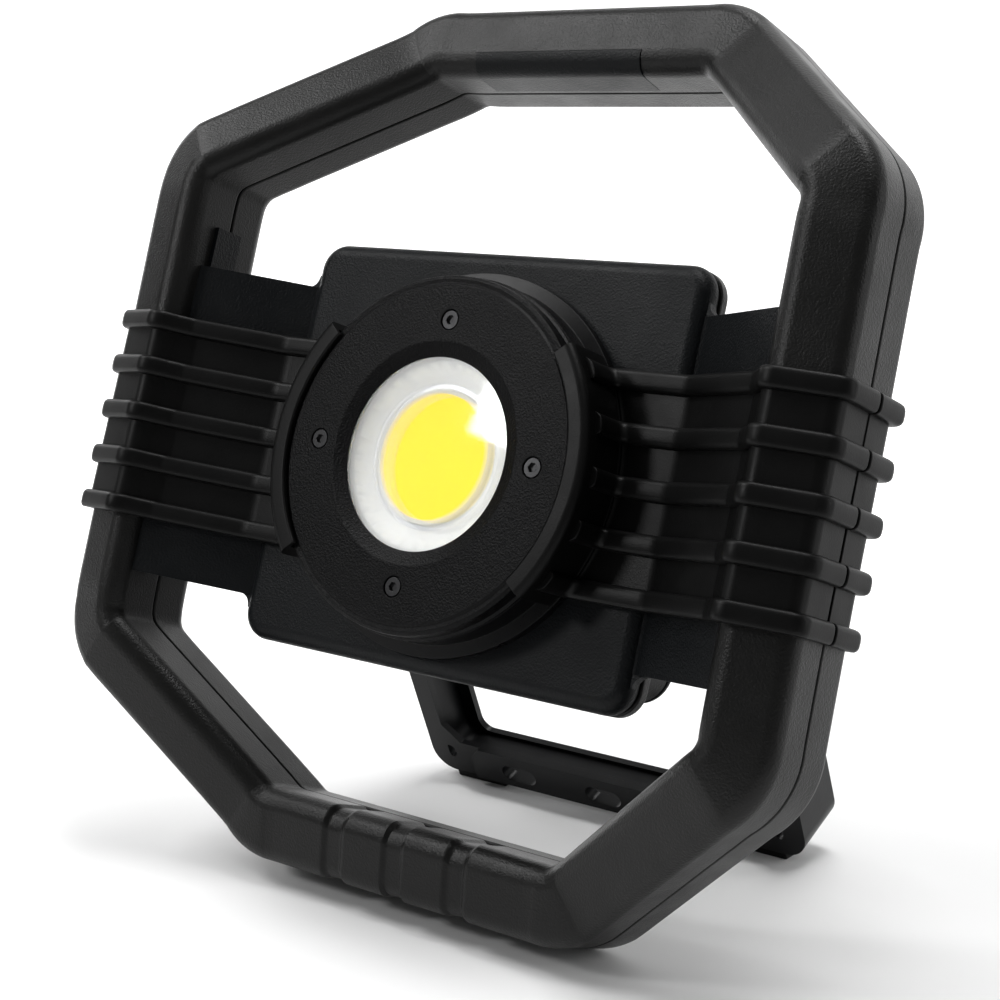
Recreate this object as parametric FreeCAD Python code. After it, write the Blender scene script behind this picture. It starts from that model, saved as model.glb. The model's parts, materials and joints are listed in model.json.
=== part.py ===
"""A free-standing battery work light: round lamp head in a bowed octagonal frame, on a folding rear stand.

Every piece of the light is first built in the light's own frame: X to the right, Y backwards along the lamp's
axis, Z up the frame, with the origin on the lamp's axis. The light is then leaned back, and the stand is built
under it. The finished part stands on Z = 0, with its origin in the middle of its footprint.
"""
import FreeCAD, Part
import math
import os
from FreeCAD import Rotation, Vector

os.makedirs("parts", exist_ok=True)

# ---------------------------------------------------------------- driving dimensions, millimetres and degrees

LEAN = 20.0                  # the light leans back this far

HALF_WIDTH = 135.0           # carrying frame, outer outline
TOP = 153.0
BOTTOM = 134.3
SHOULDER_TOP = 93.5
SHOULDER_BOTTOM = 78.0
HALF_TOP_BAR = 60.3
HALF_BOTTOM_BAR = 64.2
BAR = 23.7                   # width of the tube, seen from the front
BAR_DEPTH = 36.5
PARTING = 20.0               # depth of the joint between the two shells
PARTING_GAP = 0.5
WALL = 2.6
INNER_BEND = 5.0             # bend radius on the inside of a frame corner
SIDE_FORWARD_TOP = 36.0      # the side bars stand this far in front of the top bar
SIDE_FORWARD_BOTTOM = 32.2
BOTTOM_FORWARD = 1.4
INSERT_MIDDLE = -3.0         # grained insert in the top bar's nose and underside
INSERT_HALF = 32.0
INSERT_DEPTH = 1.0
INSERT_RISE = 7.0
INSERT_BACK = 17.5
GROOVE_PITCH = 24.3          # shallow grooves across the bottom bar
GROOVE_WIDTH = 7.4
GROOVE_DEPTH = 0.9

FRONT_FACE = -8.0            # housing, depths behind the top bar's nose
SEAL_DEPTH = -2.2
COVER_DEPTH = 0.3
BOX_FRONT = 4.0
BOX_SEAM = 40.0
BOX_BACK = 44.0
HOUSING_HALF = 75.5
HOUSING_TOP = 68.0
HOUSING_BOTTOM = 65.0
HOUSING_CORNER = 9.0
HOUSING_HOLE_R = 52.0
NOTCH_R = 4.0
BRIDGE_TOP = 52.8
BRIDGE_BOTTOM = 51.8
BRIDGE_DROP = 2.5            # the bridge lies this far behind the housing's face, at the housing
BRIDGE_WALL = 7.0
BRIDGE_ROOT = 8.3            # the bridge meets the side bar this far behind the bar's nose
LUG_THICK = 1.6
LUG_DEPTH = 11.0
LUG_HEIGHT = 14.0
BOX_HALF = 60.0
BOX_HEIGHT_HALF = 60.0
BOX_CORNER = 11.0
SKIN = 3.0

BARREL_R = 56.0              # lamp head, radii
FLANGE_R = 60.0
BEZEL_FRONT = -27.0
BEZEL_R = 55.2
BEVEL_R = 34.0
LENS_R = 30.3
COB_R = 20.5
SCREW_CIRCLE_R = 41.0
COLUMN_R = 24.0              # heat column behind the light source

RIB_PITCH = 15.6             # rubber grips
RIB_WIDTH = 6.4
RIB_HEIGHT = 3.3
RIB_ROUNDING = 1.0
RIB_COUNT = 5
GRIP_SKIN = 0.4              # the grip's skin is thin on the side bar
PANEL_SKIN = 1.6             # and thicker on the bridge
GRIP_HALF_HEIGHT = (RIB_COUNT - 1) / 2 * RIB_PITCH + RIB_WIDTH / 2 - 0.3
LIP_ANGLE = 39.0
LIP_R = 59.5

PIVOT_DEPTH = 33.0           # stand
PIVOT_HEIGHT = 12.0
LEG_LEAN = 22.5
LEG_OUTER = 79.0
LEG_DEPTH = 22.0
LEG_WALL = 2.5
LEG_FLANGE = 8.0
BOTTOM_FLANGE = 4.0
LEG_CORNER = 9.0             # bend radius between a leg and the bottom
CROSS_HEIGHT = 14.0          # cross piece between the legs
GUSSET = 7.0                 # slope in each corner of the cross web
CORNER_HOLE_R = 2.6
CORNER_HOLE_IN = 9.0
PLATE_THICK = 2.5            # slotted plate on the front of the cross piece
PLATE_HEIGHT = 15.0
PLATE_HALF = 58.0
SLOT_SPACING = 37.0
SLOT_LENGTH = 15.0
SLOT_WIDTH = 6.5
PIVOT_R = 4.0
RUNNING_FIT = 0.08
PAD_THICK = 2.6
PAD_WIDTH = 9.0

# ---------------------------------------------------------------- small helpers


def polygon_face(points):
    """A flat face through the given corner points."""
    corners = [Vector(*p) for p in points]
    return Part.Face(Part.makePolygon(corners + [corners[0]]))


def prism(points_xy, z_low, z_high):
    """A closed outline in the XY plane, raised from z_low to z_high."""
    face = polygon_face([(x, y, z_low) for x, y in points_xy])
    return face.extrude(Vector(0, 0, z_high - z_low))


def box(x_low, x_high, y_low, y_high, z_low, z_high):
    size = (x_high - x_low, y_high - y_low, z_high - z_low)
    return Part.makeBox(*size, Vector(x_low, y_low, z_low))


def disc(radius, y_front, y_back, x=0.0, z=0.0):
    """A cylinder along the lamp's axis."""
    return Part.makeCylinder(radius, y_back - y_front, Vector(x, y_front, z), Vector(0, 1, 0))


def ring(outer, inner, y_front, y_back):
    return disc(outer, y_front, y_back).cut(disc(inner, y_front - 1, y_back + 1))


def revolve_profile(points_ry):
    """A closed outline of (radius, depth) pairs turned about the lamp's axis."""
    face = polygon_face([(r, y, 0) for r, y in points_ry])
    return face.revolve(Vector(0, 0, 0), Vector(0, 1, 0), 360)


def rounded_slab(half_x, z_low, z_high, y_front, y_back, corner):
    """A slab facing the lamp's axis, with rounded corners."""
    slab = box(-half_x, half_x, y_front, y_back, z_low, z_high)
    along_y = [e for e in slab.Edges if abs(e.tangentAt(e.FirstParameter).y) > 0.9]
    return slab.makeFillet(corner, along_y)


def fillet_front_edges(solid, radius, y_face):
    """Rounds the edges that lie in the plane Y = y_face."""
    edges = [e for e in solid.Edges if all(abs(v.Point.y - y_face) < 1e-6 for v in e.Vertexes)]
    return solid.makeFillet(radius, edges)


def hexagon(radius, x, z, y_front, y_back):
    corners = []
    for i in range(6):
        angle = math.radians(60 * i)
        corners.append((x + radius * math.cos(angle), y_front, z + radius * math.sin(angle)))
    return polygon_face(corners).extrude(Vector(0, y_back - y_front, 0))


def mirrored(shape):
    return shape.mirror(Vector(0, 0, 0), Vector(1, 0, 0))


def fused(shapes):
    whole = shapes[0]
    if len(shapes) > 1:
        whole = whole.multiFuse(shapes[1:])
    return whole.removeSplitter()


# ---------------------------------------------------------------- carrying frame


def frame_outline():
    """Outer corners (x, z, y) of the frame, anticlockwise from the upper right; y is the bar's nose there."""
    right = [
        (HALF_BOTTOM_BAR, -BOTTOM, -BOTTOM_FORWARD),
        (HALF_WIDTH, -SHOULDER_BOTTOM, -SIDE_FORWARD_BOTTOM),
        (HALF_WIDTH, SHOULDER_TOP, -SIDE_FORWARD_TOP),
        (HALF_TOP_BAR, TOP, 0.0),
    ]
    left = [(-x, z, y) for x, z, y in reversed(right)]
    return right + left


def unit(x, z):
    size = math.hypot(x, z)
    return x / size, z / size


def inner_corners():
    """Corners of the frame's inner outline: the outer one moved inwards by the bar's width."""
    corners = frame_outline()
    count = len(corners)
    inner = []
    for i in range(count):
        before, here, after = corners[i - 1], corners[i], corners[(i + 1) % count]
        u1 = unit(here[0] - before[0], here[1] - before[1])
        u2 = unit(after[0] - here[0], after[1] - here[1])
        n1 = (-u1[1], u1[0])
        n2 = (-u2[1], u2[0])
        reach = BAR / (1 + n1[0] * n2[0] + n1[1] * n2[1])
        inner.append((here[0] + (n1[0] + n2[0]) * reach, here[1] + (n1[1] + n2[1]) * reach, here[2]))
    return inner


def frame_stations(bend_steps=4):
    """Stations round the frame's inner outline: (x, z, nose depth, outward direction)."""
    corners = inner_corners()
    count = len(corners)
    stations = []
    for i in range(count):
        before, here, after = corners[i - 1], corners[i], corners[(i + 1) % count]
        length1 = math.hypot(here[0] - before[0], here[1] - before[1])
        length2 = math.hypot(after[0] - here[0], after[1] - here[1])
        u1 = unit(here[0] - before[0], here[1] - before[1])
        u2 = unit(after[0] - here[0], after[1] - here[1])
        turn = math.acos(u1[0] * u2[0] + u1[1] * u2[1])
        tangent = INNER_BEND * math.tan(turn / 2)
        start = (here[0] - u1[0] * tangent, here[1] - u1[1] * tangent)
        centre = (start[0] - u1[1] * INNER_BEND, start[1] + u1[0] * INNER_BEND)
        y_start = here[2] + (before[2] - here[2]) * tangent / length1
        y_end = here[2] + (after[2] - here[2]) * tangent / length2
        for step in range(bend_steps + 1):
            share = step / bend_steps
            angle = turn * share
            out = (
                u1[1] * math.cos(angle) + u1[0] * math.sin(angle),
                -u1[0] * math.cos(angle) + u1[1] * math.sin(angle),
            )
            x = centre[0] + out[0] * INNER_BEND
            z = centre[1] + out[1] * INNER_BEND
            nose = y_start * (1 - share) ** 2 + 2 * here[2] * share * (1 - share) + y_end * share ** 2
            stations.append((x, z, nose, out))
    return stations


def bar_wire(profile, station):
    """The bar's profile of (outward, depth) pairs, set across the bar at a station."""
    x, z, nose, out = station
    points = [Vector(x + out[0] * o, nose + d, z + out[1] * o) for o, d in profile]
    return Part.makePolygon(points + [points[0]])


def sweep_frame(profile):
    """Sweeps a closed bar profile round the whole frame."""
    wires = [bar_wire(profile, s) for s in frame_stations()]
    return Part.makeLoft(wires + [wires[0]], True, True)


def rounded_path(corners, steps=4):
    """Replaces each (o, d, radius) corner of an open path with an arc of short chords."""
    path = [corners[0][:2]]
    for i in range(1, len(corners) - 1):
        (ax, ay), (bx, by), (cx, cy) = corners[i - 1][:2], corners[i][:2], corners[i + 1][:2]
        radius = corners[i][2]
        u1 = unit(bx - ax, by - ay)
        u2 = unit(cx - bx, cy - by)
        cross = u1[0] * u2[1] - u1[1] * u2[0]
        turn = math.atan2(abs(cross), u1[0] * u2[0] + u1[1] * u2[1])
        side = 1 if cross > 0 else -1
        tangent = radius * math.tan(turn / 2)
        start = (bx - u1[0] * tangent, by - u1[1] * tangent)
        centre = (start[0] - u1[1] * radius * side, start[1] + u1[0] * radius * side)
        for step in range(steps + 1):
            angle = turn * step / steps
            ox = u1[1] * math.cos(angle) * side + u1[0] * math.sin(angle)
            oy = -u1[0] * math.cos(angle) * side + u1[1] * math.sin(angle)
            path.append((centre[0] + ox * radius, centre[1] + oy * radius))
    path.append(corners[-1][:2])
    return path


def front_shell_line(inset, grow=0.0):
    """Half of the bar's outline in front of the parting: up the inside, over the nose, down the outside."""
    low, high = inset - grow, BAR - inset + grow
    nose = inset - grow
    return rounded_path(
        [
            (low, PARTING, 0),
            (low, nose - 0.8, max(6.5 - inset + grow, 1.5)),
            (high, nose + 4.6, max(5.5 - inset + grow, 1.5)),
            (high, PARTING, 0),
        ]
    )


def rear_shell_line(inset):
    low, high = inset, BAR - inset
    back = BAR_DEPTH - inset
    front = PARTING + PARTING_GAP
    return rounded_path(
        [
            (low, front, 0),
            (low, back, max(4.5 - inset, 1.5)),
            (high, back, max(4.0 - inset, 1.2)),
            (high, front, 0),
        ]
    )


def bar_length(profile, bar_inside, away, nose, x_low, x_high):
    """A straight run of a level bar: its (outward, depth) profile carried along X."""
    corners = [(x_low, nose + d, bar_inside + away * o) for o, d in profile]
    return polygon_face(corners).extrude(Vector(x_high - x_low, 0, 0))


def insert_blank(clearance):
    """The top insert: a strip of the bar's skin, over its nose and back along its underside."""
    low = INSERT_MIDDLE - INSERT_HALF - clearance
    high = INSERT_MIDDLE + INSERT_HALF + clearance
    inside = TOP - BAR
    strip = bar_length(front_shell_line(0), inside, 1, 0, low, high)
    strip = strip.cut(bar_length(front_shell_line(INSERT_DEPTH + clearance), inside, 1, 0, low - 1, high + 1))
    window = box(low, high, -5, INSERT_BACK + clearance, inside - 1, inside + INSERT_RISE + clearance)
    return strip.common(window)


def bottom_grooves():
    """Cutters for the grooves across the front of the bottom bar."""
    cutters = []
    inside = -BOTTOM + BAR
    for index in (-1, 0, 1):
        low = index * GROOVE_PITCH - GROOVE_WIDTH / 2
        high = low + GROOVE_WIDTH
        skin = bar_length(front_shell_line(0, 0.5), inside, -1, -BOTTOM_FORWARD, low, high)
        core = bar_length(front_shell_line(GROOVE_DEPTH), inside, -1, -BOTTOM_FORWARD, low - 1, high + 1)
        cutters.append(skin.cut(core))
    return cutters


def frame_front_shell():
    shell = sweep_frame(front_shell_line(0) + front_shell_line(WALL)[::-1])
    for cutter in bottom_grooves() + [insert_blank(0.05)]:
        shell = shell.cut(cutter)
    return shell


def frame_rear_shell():
    shell = sweep_frame(rear_shell_line(0) + rear_shell_line(WALL)[::-1])
    for x, z, back in frame_screw_places():
        shell = shell.cut(disc(3.4, back - 1.8, back + 2, x, z))
    return shell


def side_nose():
    """Depth of the side bar's nose at the lamp's axis."""
    share = SHOULDER_BOTTOM / (SHOULDER_BOTTOM + SHOULDER_TOP)
    return -(SIDE_FORWARD_BOTTOM * (1 - share) + SIDE_FORWARD_TOP * share)


def frame_screw_places():
    """Places (x, z, depth of the bar's back) of the screws that hold the two shells together."""
    rise = (SIDE_FORWARD_TOP - SIDE_FORWARD_BOTTOM) / (SHOULDER_TOP + SHOULDER_BOTTOM)
    places = []
    for side in (-1, 1):
        places.append((side * HALF_TOP_BAR * 0.7, TOP - BAR / 2, BAR_DEPTH))
        places.append((side * HALF_BOTTOM_BAR * 0.7, -BOTTOM + BAR / 2, BAR_DEPTH - BOTTOM_FORWARD))
        for z in (-SHOULDER_BOTTOM * 0.75, SHOULDER_TOP * 0.75):
            back = BAR_DEPTH - SIDE_FORWARD_BOTTOM - rise * (z + SHOULDER_BOTTOM)
            places.append((side * (HALF_WIDTH - BAR / 2), z, back))
    return places


def screw_head(radius, x, z, y_seat, height):
    """A pan head with a hexagon socket, facing backwards."""
    head = disc(radius, y_seat, y_seat + height, x, z)
    return head.cut(hexagon(radius * 0.5, x, z, y_seat + height * 0.4, y_seat + height + 1))


def frame_screws():
    return Part.makeCompound([screw_head(3.1, x, z, back - 1.75, 1.5) for x, z, back in frame_screw_places()])


# ---------------------------------------------------------------- rubber grips


def grip_outline(lift, wall_x):
    """Outline of the right grip at one height, lifted off the parts under it: from the side bar's outside over
    the bar and the bridge to the lamp's barrel, and back inside those parts."""
    nose = side_nose()
    bar_in = HALF_WIDTH - BAR
    bridge_y = nose + BRIDGE_ROOT
    panel = lift + PANEL_SKIN - GRIP_SKIN
    foot_y = FRONT_FACE - panel
    return [
        (HALF_WIDTH + lift, nose + PARTING - 0.4),
        (HALF_WIDTH + lift, nose + 10.0),
        (HALF_WIDTH - 0.4 + lift * 0.7, nose + 7.0 - lift * 0.4),
        (HALF_WIDTH - 2.2 + lift * 0.5, nose + 4.8 - lift * 0.6),
        (HALF_WIDTH - 5.2 + lift * 0.3, nose + 3.4 - lift * 0.9),
        (bar_in + 6.0, nose - 0.2 - lift),
        (bar_in + 2.2 - lift * 0.5, nose + 0.8 - lift * 0.9),
        (bar_in - lift * 0.7, nose + 4.4 - lift * 0.7),
        (bar_in - 4.0, bridge_y + 2.2 - panel * 1.1),
        (HOUSING_HALF + 2.0, FRONT_FACE - 0.6 - panel),
        (HOUSING_HALF - 4.0, foot_y),
        (wall_x + 2.5, foot_y),
        (wall_x, foot_y - 2.5),
        (wall_x, BEZEL_FRONT + 3.2),
        (BARREL_R - 8.0, BEZEL_FRONT + 3.2),
        (BARREL_R - 8.0, FRONT_FACE + 4.0),
        (HOUSING_HALF, FRONT_FACE + 4.0),
        (bar_in + 3.0, nose + PARTING - 0.4),
    ]


def rib_heights():
    """Heights of the middles of the ribs."""
    return [(index - (RIB_COUNT - 1) / 2) * RIB_PITCH for index in range(RIB_COUNT)]


def rib_layers():
    """A rib is two layers: (lift, half width) of its narrow crest and of its body."""
    return [(RIB_HEIGHT, RIB_WIDTH / 2 - RIB_ROUNDING), (RIB_HEIGHT - RIB_ROUNDING, RIB_WIDTH / 2)]


def right_sector(shape, half_angle):
    """The part of a shape that lies within half_angle of the X axis, seen along the lamp's axis."""
    reach = 2 * LIP_R
    rise = reach * math.tan(math.radians(half_angle))
    wedge = polygon_face([(0, -60, 0), (reach, -60, rise), (reach, -60, -rise)])
    return shape.common(wedge.extrude(Vector(0, 100, 0)))


def grip_lip():
    """The arc-shaped lip in which a grip ends, round the edge of the bezel, with its skin on the barrel."""
    cap = ring(LIP_R - 0.8, BEZEL_R - 2.4, BEZEL_FRONT - 1.6, BEZEL_FRONT - 0.05)
    lip = ring(LIP_R, BEZEL_R + 0.3, BEZEL_FRONT - 0.8, BEZEL_FRONT + 4.0)
    skin = ring(LIP_R, BARREL_R, BEZEL_FRONT + 3.5, FRONT_FACE)
    return right_sector(fused([cap, lip, skin]), LIP_ANGLE)


def grip_body():
    """The right-hand front grip: a skin with ribs across it, and its lip."""
    pieces = [prism(grip_outline(GRIP_SKIN, BARREL_R - 7.0), -GRIP_HALF_HEIGHT, GRIP_HALF_HEIGHT)]
    for z in rib_heights():
        for lift, half in rib_layers():
            wall_x = math.sqrt((LIP_R + lift * 0.6) ** 2 - z ** 2)
            pieces.append(prism(grip_outline(lift, wall_x), z - half, z + half))
    pieces.append(grip_lip())
    return fused(pieces)


def grip_front(host_shapes):
    """The front grip, cut to lie on the parts under it."""
    grip = grip_body()
    for host in host_shapes:
        grip = grip.cut(host)
    solids = sorted(grip.Solids, key=lambda s: s.Volume)
    return solids[-1]


def grip_rear():
    """The right-hand rear grip: the same ribs carried on round the back of the side bar."""
    nose = side_nose()
    front = nose + PARTING + PARTING_GAP + 0.2
    back = nose + BAR_DEPTH
    bar_in = HALF_WIDTH - BAR

    def outline(lift):
        return [
            (HALF_WIDTH + lift, front),
            (HALF_WIDTH + lift, back - 6.5),
            (HALF_WIDTH - 1.6 + lift * 0.8, back - 2.2 + lift * 0.6),
            (HALF_WIDTH - 6.0 + lift * 0.2, back + lift),
            (bar_in + 5.0 - lift * 0.2, back + lift),
            (bar_in + 1.2 - lift * 0.8, back - 1.8 + lift * 0.6),
            (bar_in - lift, back - 5.0),
            (bar_in - lift, front + 3.0),
            (bar_in + 4.0, front + 3.0),
            (HALF_WIDTH - 4.0, front),
        ]

    pieces = [prism(outline(GRIP_SKIN), -GRIP_HALF_HEIGHT, GRIP_HALF_HEIGHT)]
    for z in rib_heights():
        for lift, half in rib_layers():
            pieces.append(prism(outline(lift), z - half, z + half))
    return fused(pieces)


def bar_core(rear):
    """The side bar as a filled bar, used to hollow the grips so that they fit over it."""
    if rear:
        line = rear_shell_line(-0.05)
        closing = [(BAR + 0.05, PARTING - 2), (-0.05, PARTING - 2)]
    else:
        line = front_shell_line(-0.05)
        closing = [(BAR + 0.05, BAR_DEPTH), (-0.05, BAR_DEPTH)]
    profile = line + closing
    ends = []
    for z, nose in ((-SHOULDER_BOTTOM + 10, -SIDE_FORWARD_BOTTOM), (SHOULDER_TOP - 10, -SIDE_FORWARD_TOP)):
        ends.append(bar_wire(profile, (HALF_WIDTH - BAR, z, nose, (1.0, 0.0))))
    return Part.makeLoft(ends, True, True)


# ---------------------------------------------------------------- housing


def bridge_outline(thickness):
    """Outline of the right bridge, seen from above: it slopes forward from the housing to the side bar."""
    bar_in = HALF_WIDTH - BAR - 0.1
    root = side_nose() + BRIDGE_ROOT
    return [
        (HOUSING_HALF - 6.0, FRONT_FACE + 0.8),
        (HOUSING_HALF, FRONT_FACE + BRIDGE_DROP),
        (bar_in, root),
        (bar_in, root + thickness),
        (HOUSING_HALF - 2.0, SEAL_DEPTH + thickness - BRIDGE_WALL),
        (HOUSING_HALF - 6.0, SEAL_DEPTH + thickness - BRIDGE_WALL),
    ]


def notch_web(z, up):
    """A web with a hollow curve, in the corner between the housing's side and the edge of the right bridge."""
    z_far = z + up * NOTCH_R
    low, high = min(z, z_far), max(z, z_far)
    block = box(HOUSING_HALF - 4.0, HOUSING_HALF + NOTCH_R, FRONT_FACE + BRIDGE_DROP, SEAL_DEPTH, low, high)
    return block.cut(disc(NOTCH_R, FRONT_FACE - 2, SEAL_DEPTH + 2, HOUSING_HALF + NOTCH_R, z_far))


def bridge_lug():
    """A lug on the right bridge's top edge, flat against the side bar."""
    bar_in = HALF_WIDTH - BAR - 0.1
    front = side_nose() + BRIDGE_ROOT + 3.0
    return box(bar_in - LUG_THICK, bar_in, front, front + LUG_DEPTH, BRIDGE_TOP - 1.0, BRIDGE_TOP + LUG_HEIGHT)


def front_housing():
    """The front box with its two bridges, open at the back."""
    shell = rounded_slab(HOUSING_HALF, -HOUSING_BOTTOM, HOUSING_TOP, FRONT_FACE, SEAL_DEPTH, HOUSING_CORNER)
    shell = fillet_front_edges(shell, 5.0, FRONT_FACE)
    bridge = prism(bridge_outline(BRIDGE_WALL), -BRIDGE_BOTTOM, BRIDGE_TOP)
    lug = bridge_lug()
    pieces = [shell, bridge, mirrored(bridge), lug, mirrored(lug)]
    for z, up in ((BRIDGE_TOP, 1), (-BRIDGE_BOTTOM, -1)):
        web = notch_web(z, up)
        pieces += [web, mirrored(web)]
    shell = fused(pieces)
    hollow = rounded_slab(HOUSING_HALF - SKIN, -HOUSING_BOTTOM + SKIN, HOUSING_TOP - SKIN,
                          FRONT_FACE + SKIN, SEAL_DEPTH + 1, HOUSING_CORNER - SKIN)
    shell = shell.cut(hollow)
    return shell.cut(disc(HOUSING_HOLE_R, FRONT_FACE - 5, SEAL_DEPTH))


def housing_seal():
    outer = rounded_slab(HOUSING_HALF - 1.0, -HOUSING_BOTTOM + 1.0, HOUSING_TOP - 1.0,
                         SEAL_DEPTH, COVER_DEPTH, HOUSING_CORNER - 1.0)
    inner = rounded_slab(HOUSING_HALF - SKIN, -HOUSING_BOTTOM + SKIN, HOUSING_TOP - SKIN,
                         SEAL_DEPTH - 1, COVER_DEPTH + 1, HOUSING_CORNER - SKIN)
    return outer.cut(inner)


def rear_cover():
    """The plate that closes the housing; the battery box stands on its back."""
    plate = rounded_slab(HOUSING_HALF, -HOUSING_BOTTOM, HOUSING_TOP, COVER_DEPTH, BOX_FRONT, HOUSING_CORNER)
    window = rounded_slab(BOX_HALF - 12.0, -BOX_HEIGHT_HALF + 14.0, BOX_HEIGHT_HALF - 14.0,
                          COVER_DEPTH - 1, BOX_FRONT + 1, 4.0)
    return plate.cut(window)


def battery_box():
    """The battery box: a sleeve with a pivot boss on each side."""
    sleeve = rounded_slab(BOX_HALF, -BOX_HEIGHT_HALF, BOX_HEIGHT_HALF, BOX_FRONT, BOX_SEAM, BOX_CORNER)
    boss = Part.makeCylinder(6.5, LEG_OUTER - LEG_WALL - 1.1 - BOX_HALF + 1.0,
                             Vector(BOX_HALF - 1.0, PIVOT_DEPTH, PIVOT_HEIGHT), Vector(1, 0, 0))
    sleeve = fused([sleeve, boss, mirrored(boss)])
    hollow = rounded_slab(BOX_HALF - SKIN, -BOX_HEIGHT_HALF + SKIN, BOX_HEIGHT_HALF - SKIN,
                          BOX_FRONT - 1, BOX_SEAM + 1, BOX_CORNER - SKIN)
    bore = Part.makeCylinder(PIVOT_R + 0.02, 40.0, Vector(BOX_HALF - 6.0, PIVOT_DEPTH, PIVOT_HEIGHT),
                             Vector(1, 0, 0))
    return sleeve.cut(hollow).cut(bore).cut(mirrored(bore))


BUTTON_Z = 34.0
BUTTON_R = 9.0
SOCKET_Z = -36.0
WINDOW_X = 26.0


def battery_lid():
    """The lid of the battery box, with holes for the button, charge window and charging socket."""
    lid = rounded_slab(BOX_HALF, -BOX_HEIGHT_HALF, BOX_HEIGHT_HALF, BOX_SEAM + 0.4, BOX_BACK, BOX_CORNER)
    lid = fillet_front_edges(lid, 3.0, BOX_BACK)
    hollow = rounded_slab(BOX_HALF - SKIN, -BOX_HEIGHT_HALF + SKIN, BOX_HEIGHT_HALF - SKIN,
                          BOX_SEAM - 1, BOX_BACK - 2.4, BOX_CORNER - SKIN)
    lid = lid.cut(hollow)
    lid = lid.cut(disc(BUTTON_R + 0.3, BOX_SEAM, BOX_BACK + 1, 0, BUTTON_Z))
    lid = lid.cut(box(WINDOW_X - 9, WINDOW_X + 9, BOX_SEAM, BOX_BACK + 1, BUTTON_Z - 3, BUTTON_Z + 3))
    return lid.cut(box(-6.5, 6.5, BOX_SEAM, BOX_BACK + 1, SOCKET_Z - 4.5, SOCKET_Z + 4.5))


def lid_screws():
    places = [(x * (BOX_HALF - 9.0), z * (BOX_HEIGHT_HALF - 9.0)) for x in (-1, 1) for z in (-1, 1)]
    return Part.makeCompound([screw_head(2.8, x, z, BOX_BACK + 0.02, 1.5) for x, z in places])


def cover_screws():
    """Screws through the edge of the rear cover into the front housing."""
    places = [(x * (HOUSING_HALF - 5.0), z) for x in (-1, 1) for z in (-30.0, 46.0)]
    places += [(x * 35.0, HOUSING_TOP - 4.0) for x in (-1, 1)]
    return Part.makeCompound([screw_head(2.4, x, z, BOX_FRONT + 0.02, 1.4) for x, z in places])


# ---------------------------------------------------------------- lamp head


def head_barrel():
    """The lamp's aluminium barrel, with its base flange and a floor for the light source."""
    back = FRONT_FACE - 0.1
    profile = [
        (BARREL_R, BEZEL_FRONT + 7.0),
        (BARREL_R, back - 4.0),
        (FLANGE_R, back - 3.0),
        (FLANGE_R, back),
        (COLUMN_R + 0.5, back),
        (COLUMN_R + 0.5, back - 4.0),
        (BARREL_R - 3.0, back - 4.0),
        (BARREL_R - 3.0, BEZEL_FRONT + 7.0),
    ]
    barrel = revolve_profile(profile)
    for x, z in lead_places():
        barrel = barrel.cut(disc(1.6, back - 6.0, back + 1.0, x, z))
    return barrel


def lead_places():
    return [(side * 39.0, 31.0) for side in (-1, 1)]


LENS_FRONT = BEZEL_FRONT + 2.2
LED_DEPTH = BEZEL_FRONT + 8.0    # face of the circuit board that carries the light source


def bezel_ring():
    """The flat bezel: a rounded double rim outside, a smooth bevel down to the lens inside."""
    front = BEZEL_FRONT
    profile = [
        (BEVEL_R, front + 0.3),
        (BEVEL_R + 0.8, front),
        (BEZEL_R - 3.2, front),
        (BEZEL_R - 2.6, front + 0.8),
        (BEZEL_R - 1.2, front + 0.6),
        (BEZEL_R - 0.2, front + 1.2),
        (BEZEL_R, front + 2.4),
        (BEZEL_R, front + 5.2),
        (BARREL_R, front + 6.0),
        (BARREL_R, front + 6.9),
        (46.0, front + 6.9),
        (46.0, front + 3.9),
        (LENS_R + 3.5, front + 3.9),
        (LENS_R + 3.5, LENS_FRONT - 0.1),
        (LENS_R - 0.5, LENS_FRONT - 0.1),
        (LENS_R - 0.5, LENS_FRONT - 0.5),
    ]
    ring_solid = revolve_profile(profile)
    for x, z in bezel_screw_places():
        ring_solid = ring_solid.cut(disc(3.3, front - 1, front + 2.0, x, z))
    return ring_solid


def bezel_screw_places():
    angles = [90 * i for i in range(4)]
    return [(SCREW_CIRCLE_R * math.cos(math.radians(a)), SCREW_CIRCLE_R * math.sin(math.radians(a)))
            for a in angles]


def bezel_screws():
    screws = []
    for x, z in bezel_screw_places():
        head = disc(2.9, BEZEL_FRONT + 0.2, BEZEL_FRONT + 1.95, x, z)
        screws.append(head.cut(hexagon(1.5, x, z, BEZEL_FRONT - 0.5, BEZEL_FRONT + 1.3)))
    return Part.makeCompound(screws)


def lens_seal():
    return ring(LENS_R + 3.3, LENS_R + 0.2, LENS_FRONT, LENS_FRONT + 2.0)


def lens():
    return disc(LENS_R + 0.1, LENS_FRONT, LENS_FRONT + 2.0)


def reflector():
    """A shallow white dish between the light source and the lens."""
    front = LENS_FRONT + 2.1
    back = LED_DEPTH - 0.1
    return revolve_profile([
        (LENS_R - 0.9, front),
        (LENS_R + 0.8, front),
        (LENS_R + 0.8, front + 1.0),
        (COB_R + 5.4, back),
        (COB_R + 2.2, back),
        (COB_R + 2.2, back - 0.5),
        (COB_R + 5.0, back - 1.0),
    ])


def cob_board():
    return rounded_slab(26.0, -26.0, 26.0, LED_DEPTH, LED_DEPTH + 2.0, 3.0)


def cob_light():
    """The round light-emitting surface."""
    return disc(COB_R - 1.0, LED_DEPTH - 1.0, LED_DEPTH - 0.02)


def cob_dam():
    return ring(COB_R + 0.6, COB_R - 0.95, LED_DEPTH - 1.3, LED_DEPTH - 0.02)


HOLDER_SCREW_X = 35.5


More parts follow.
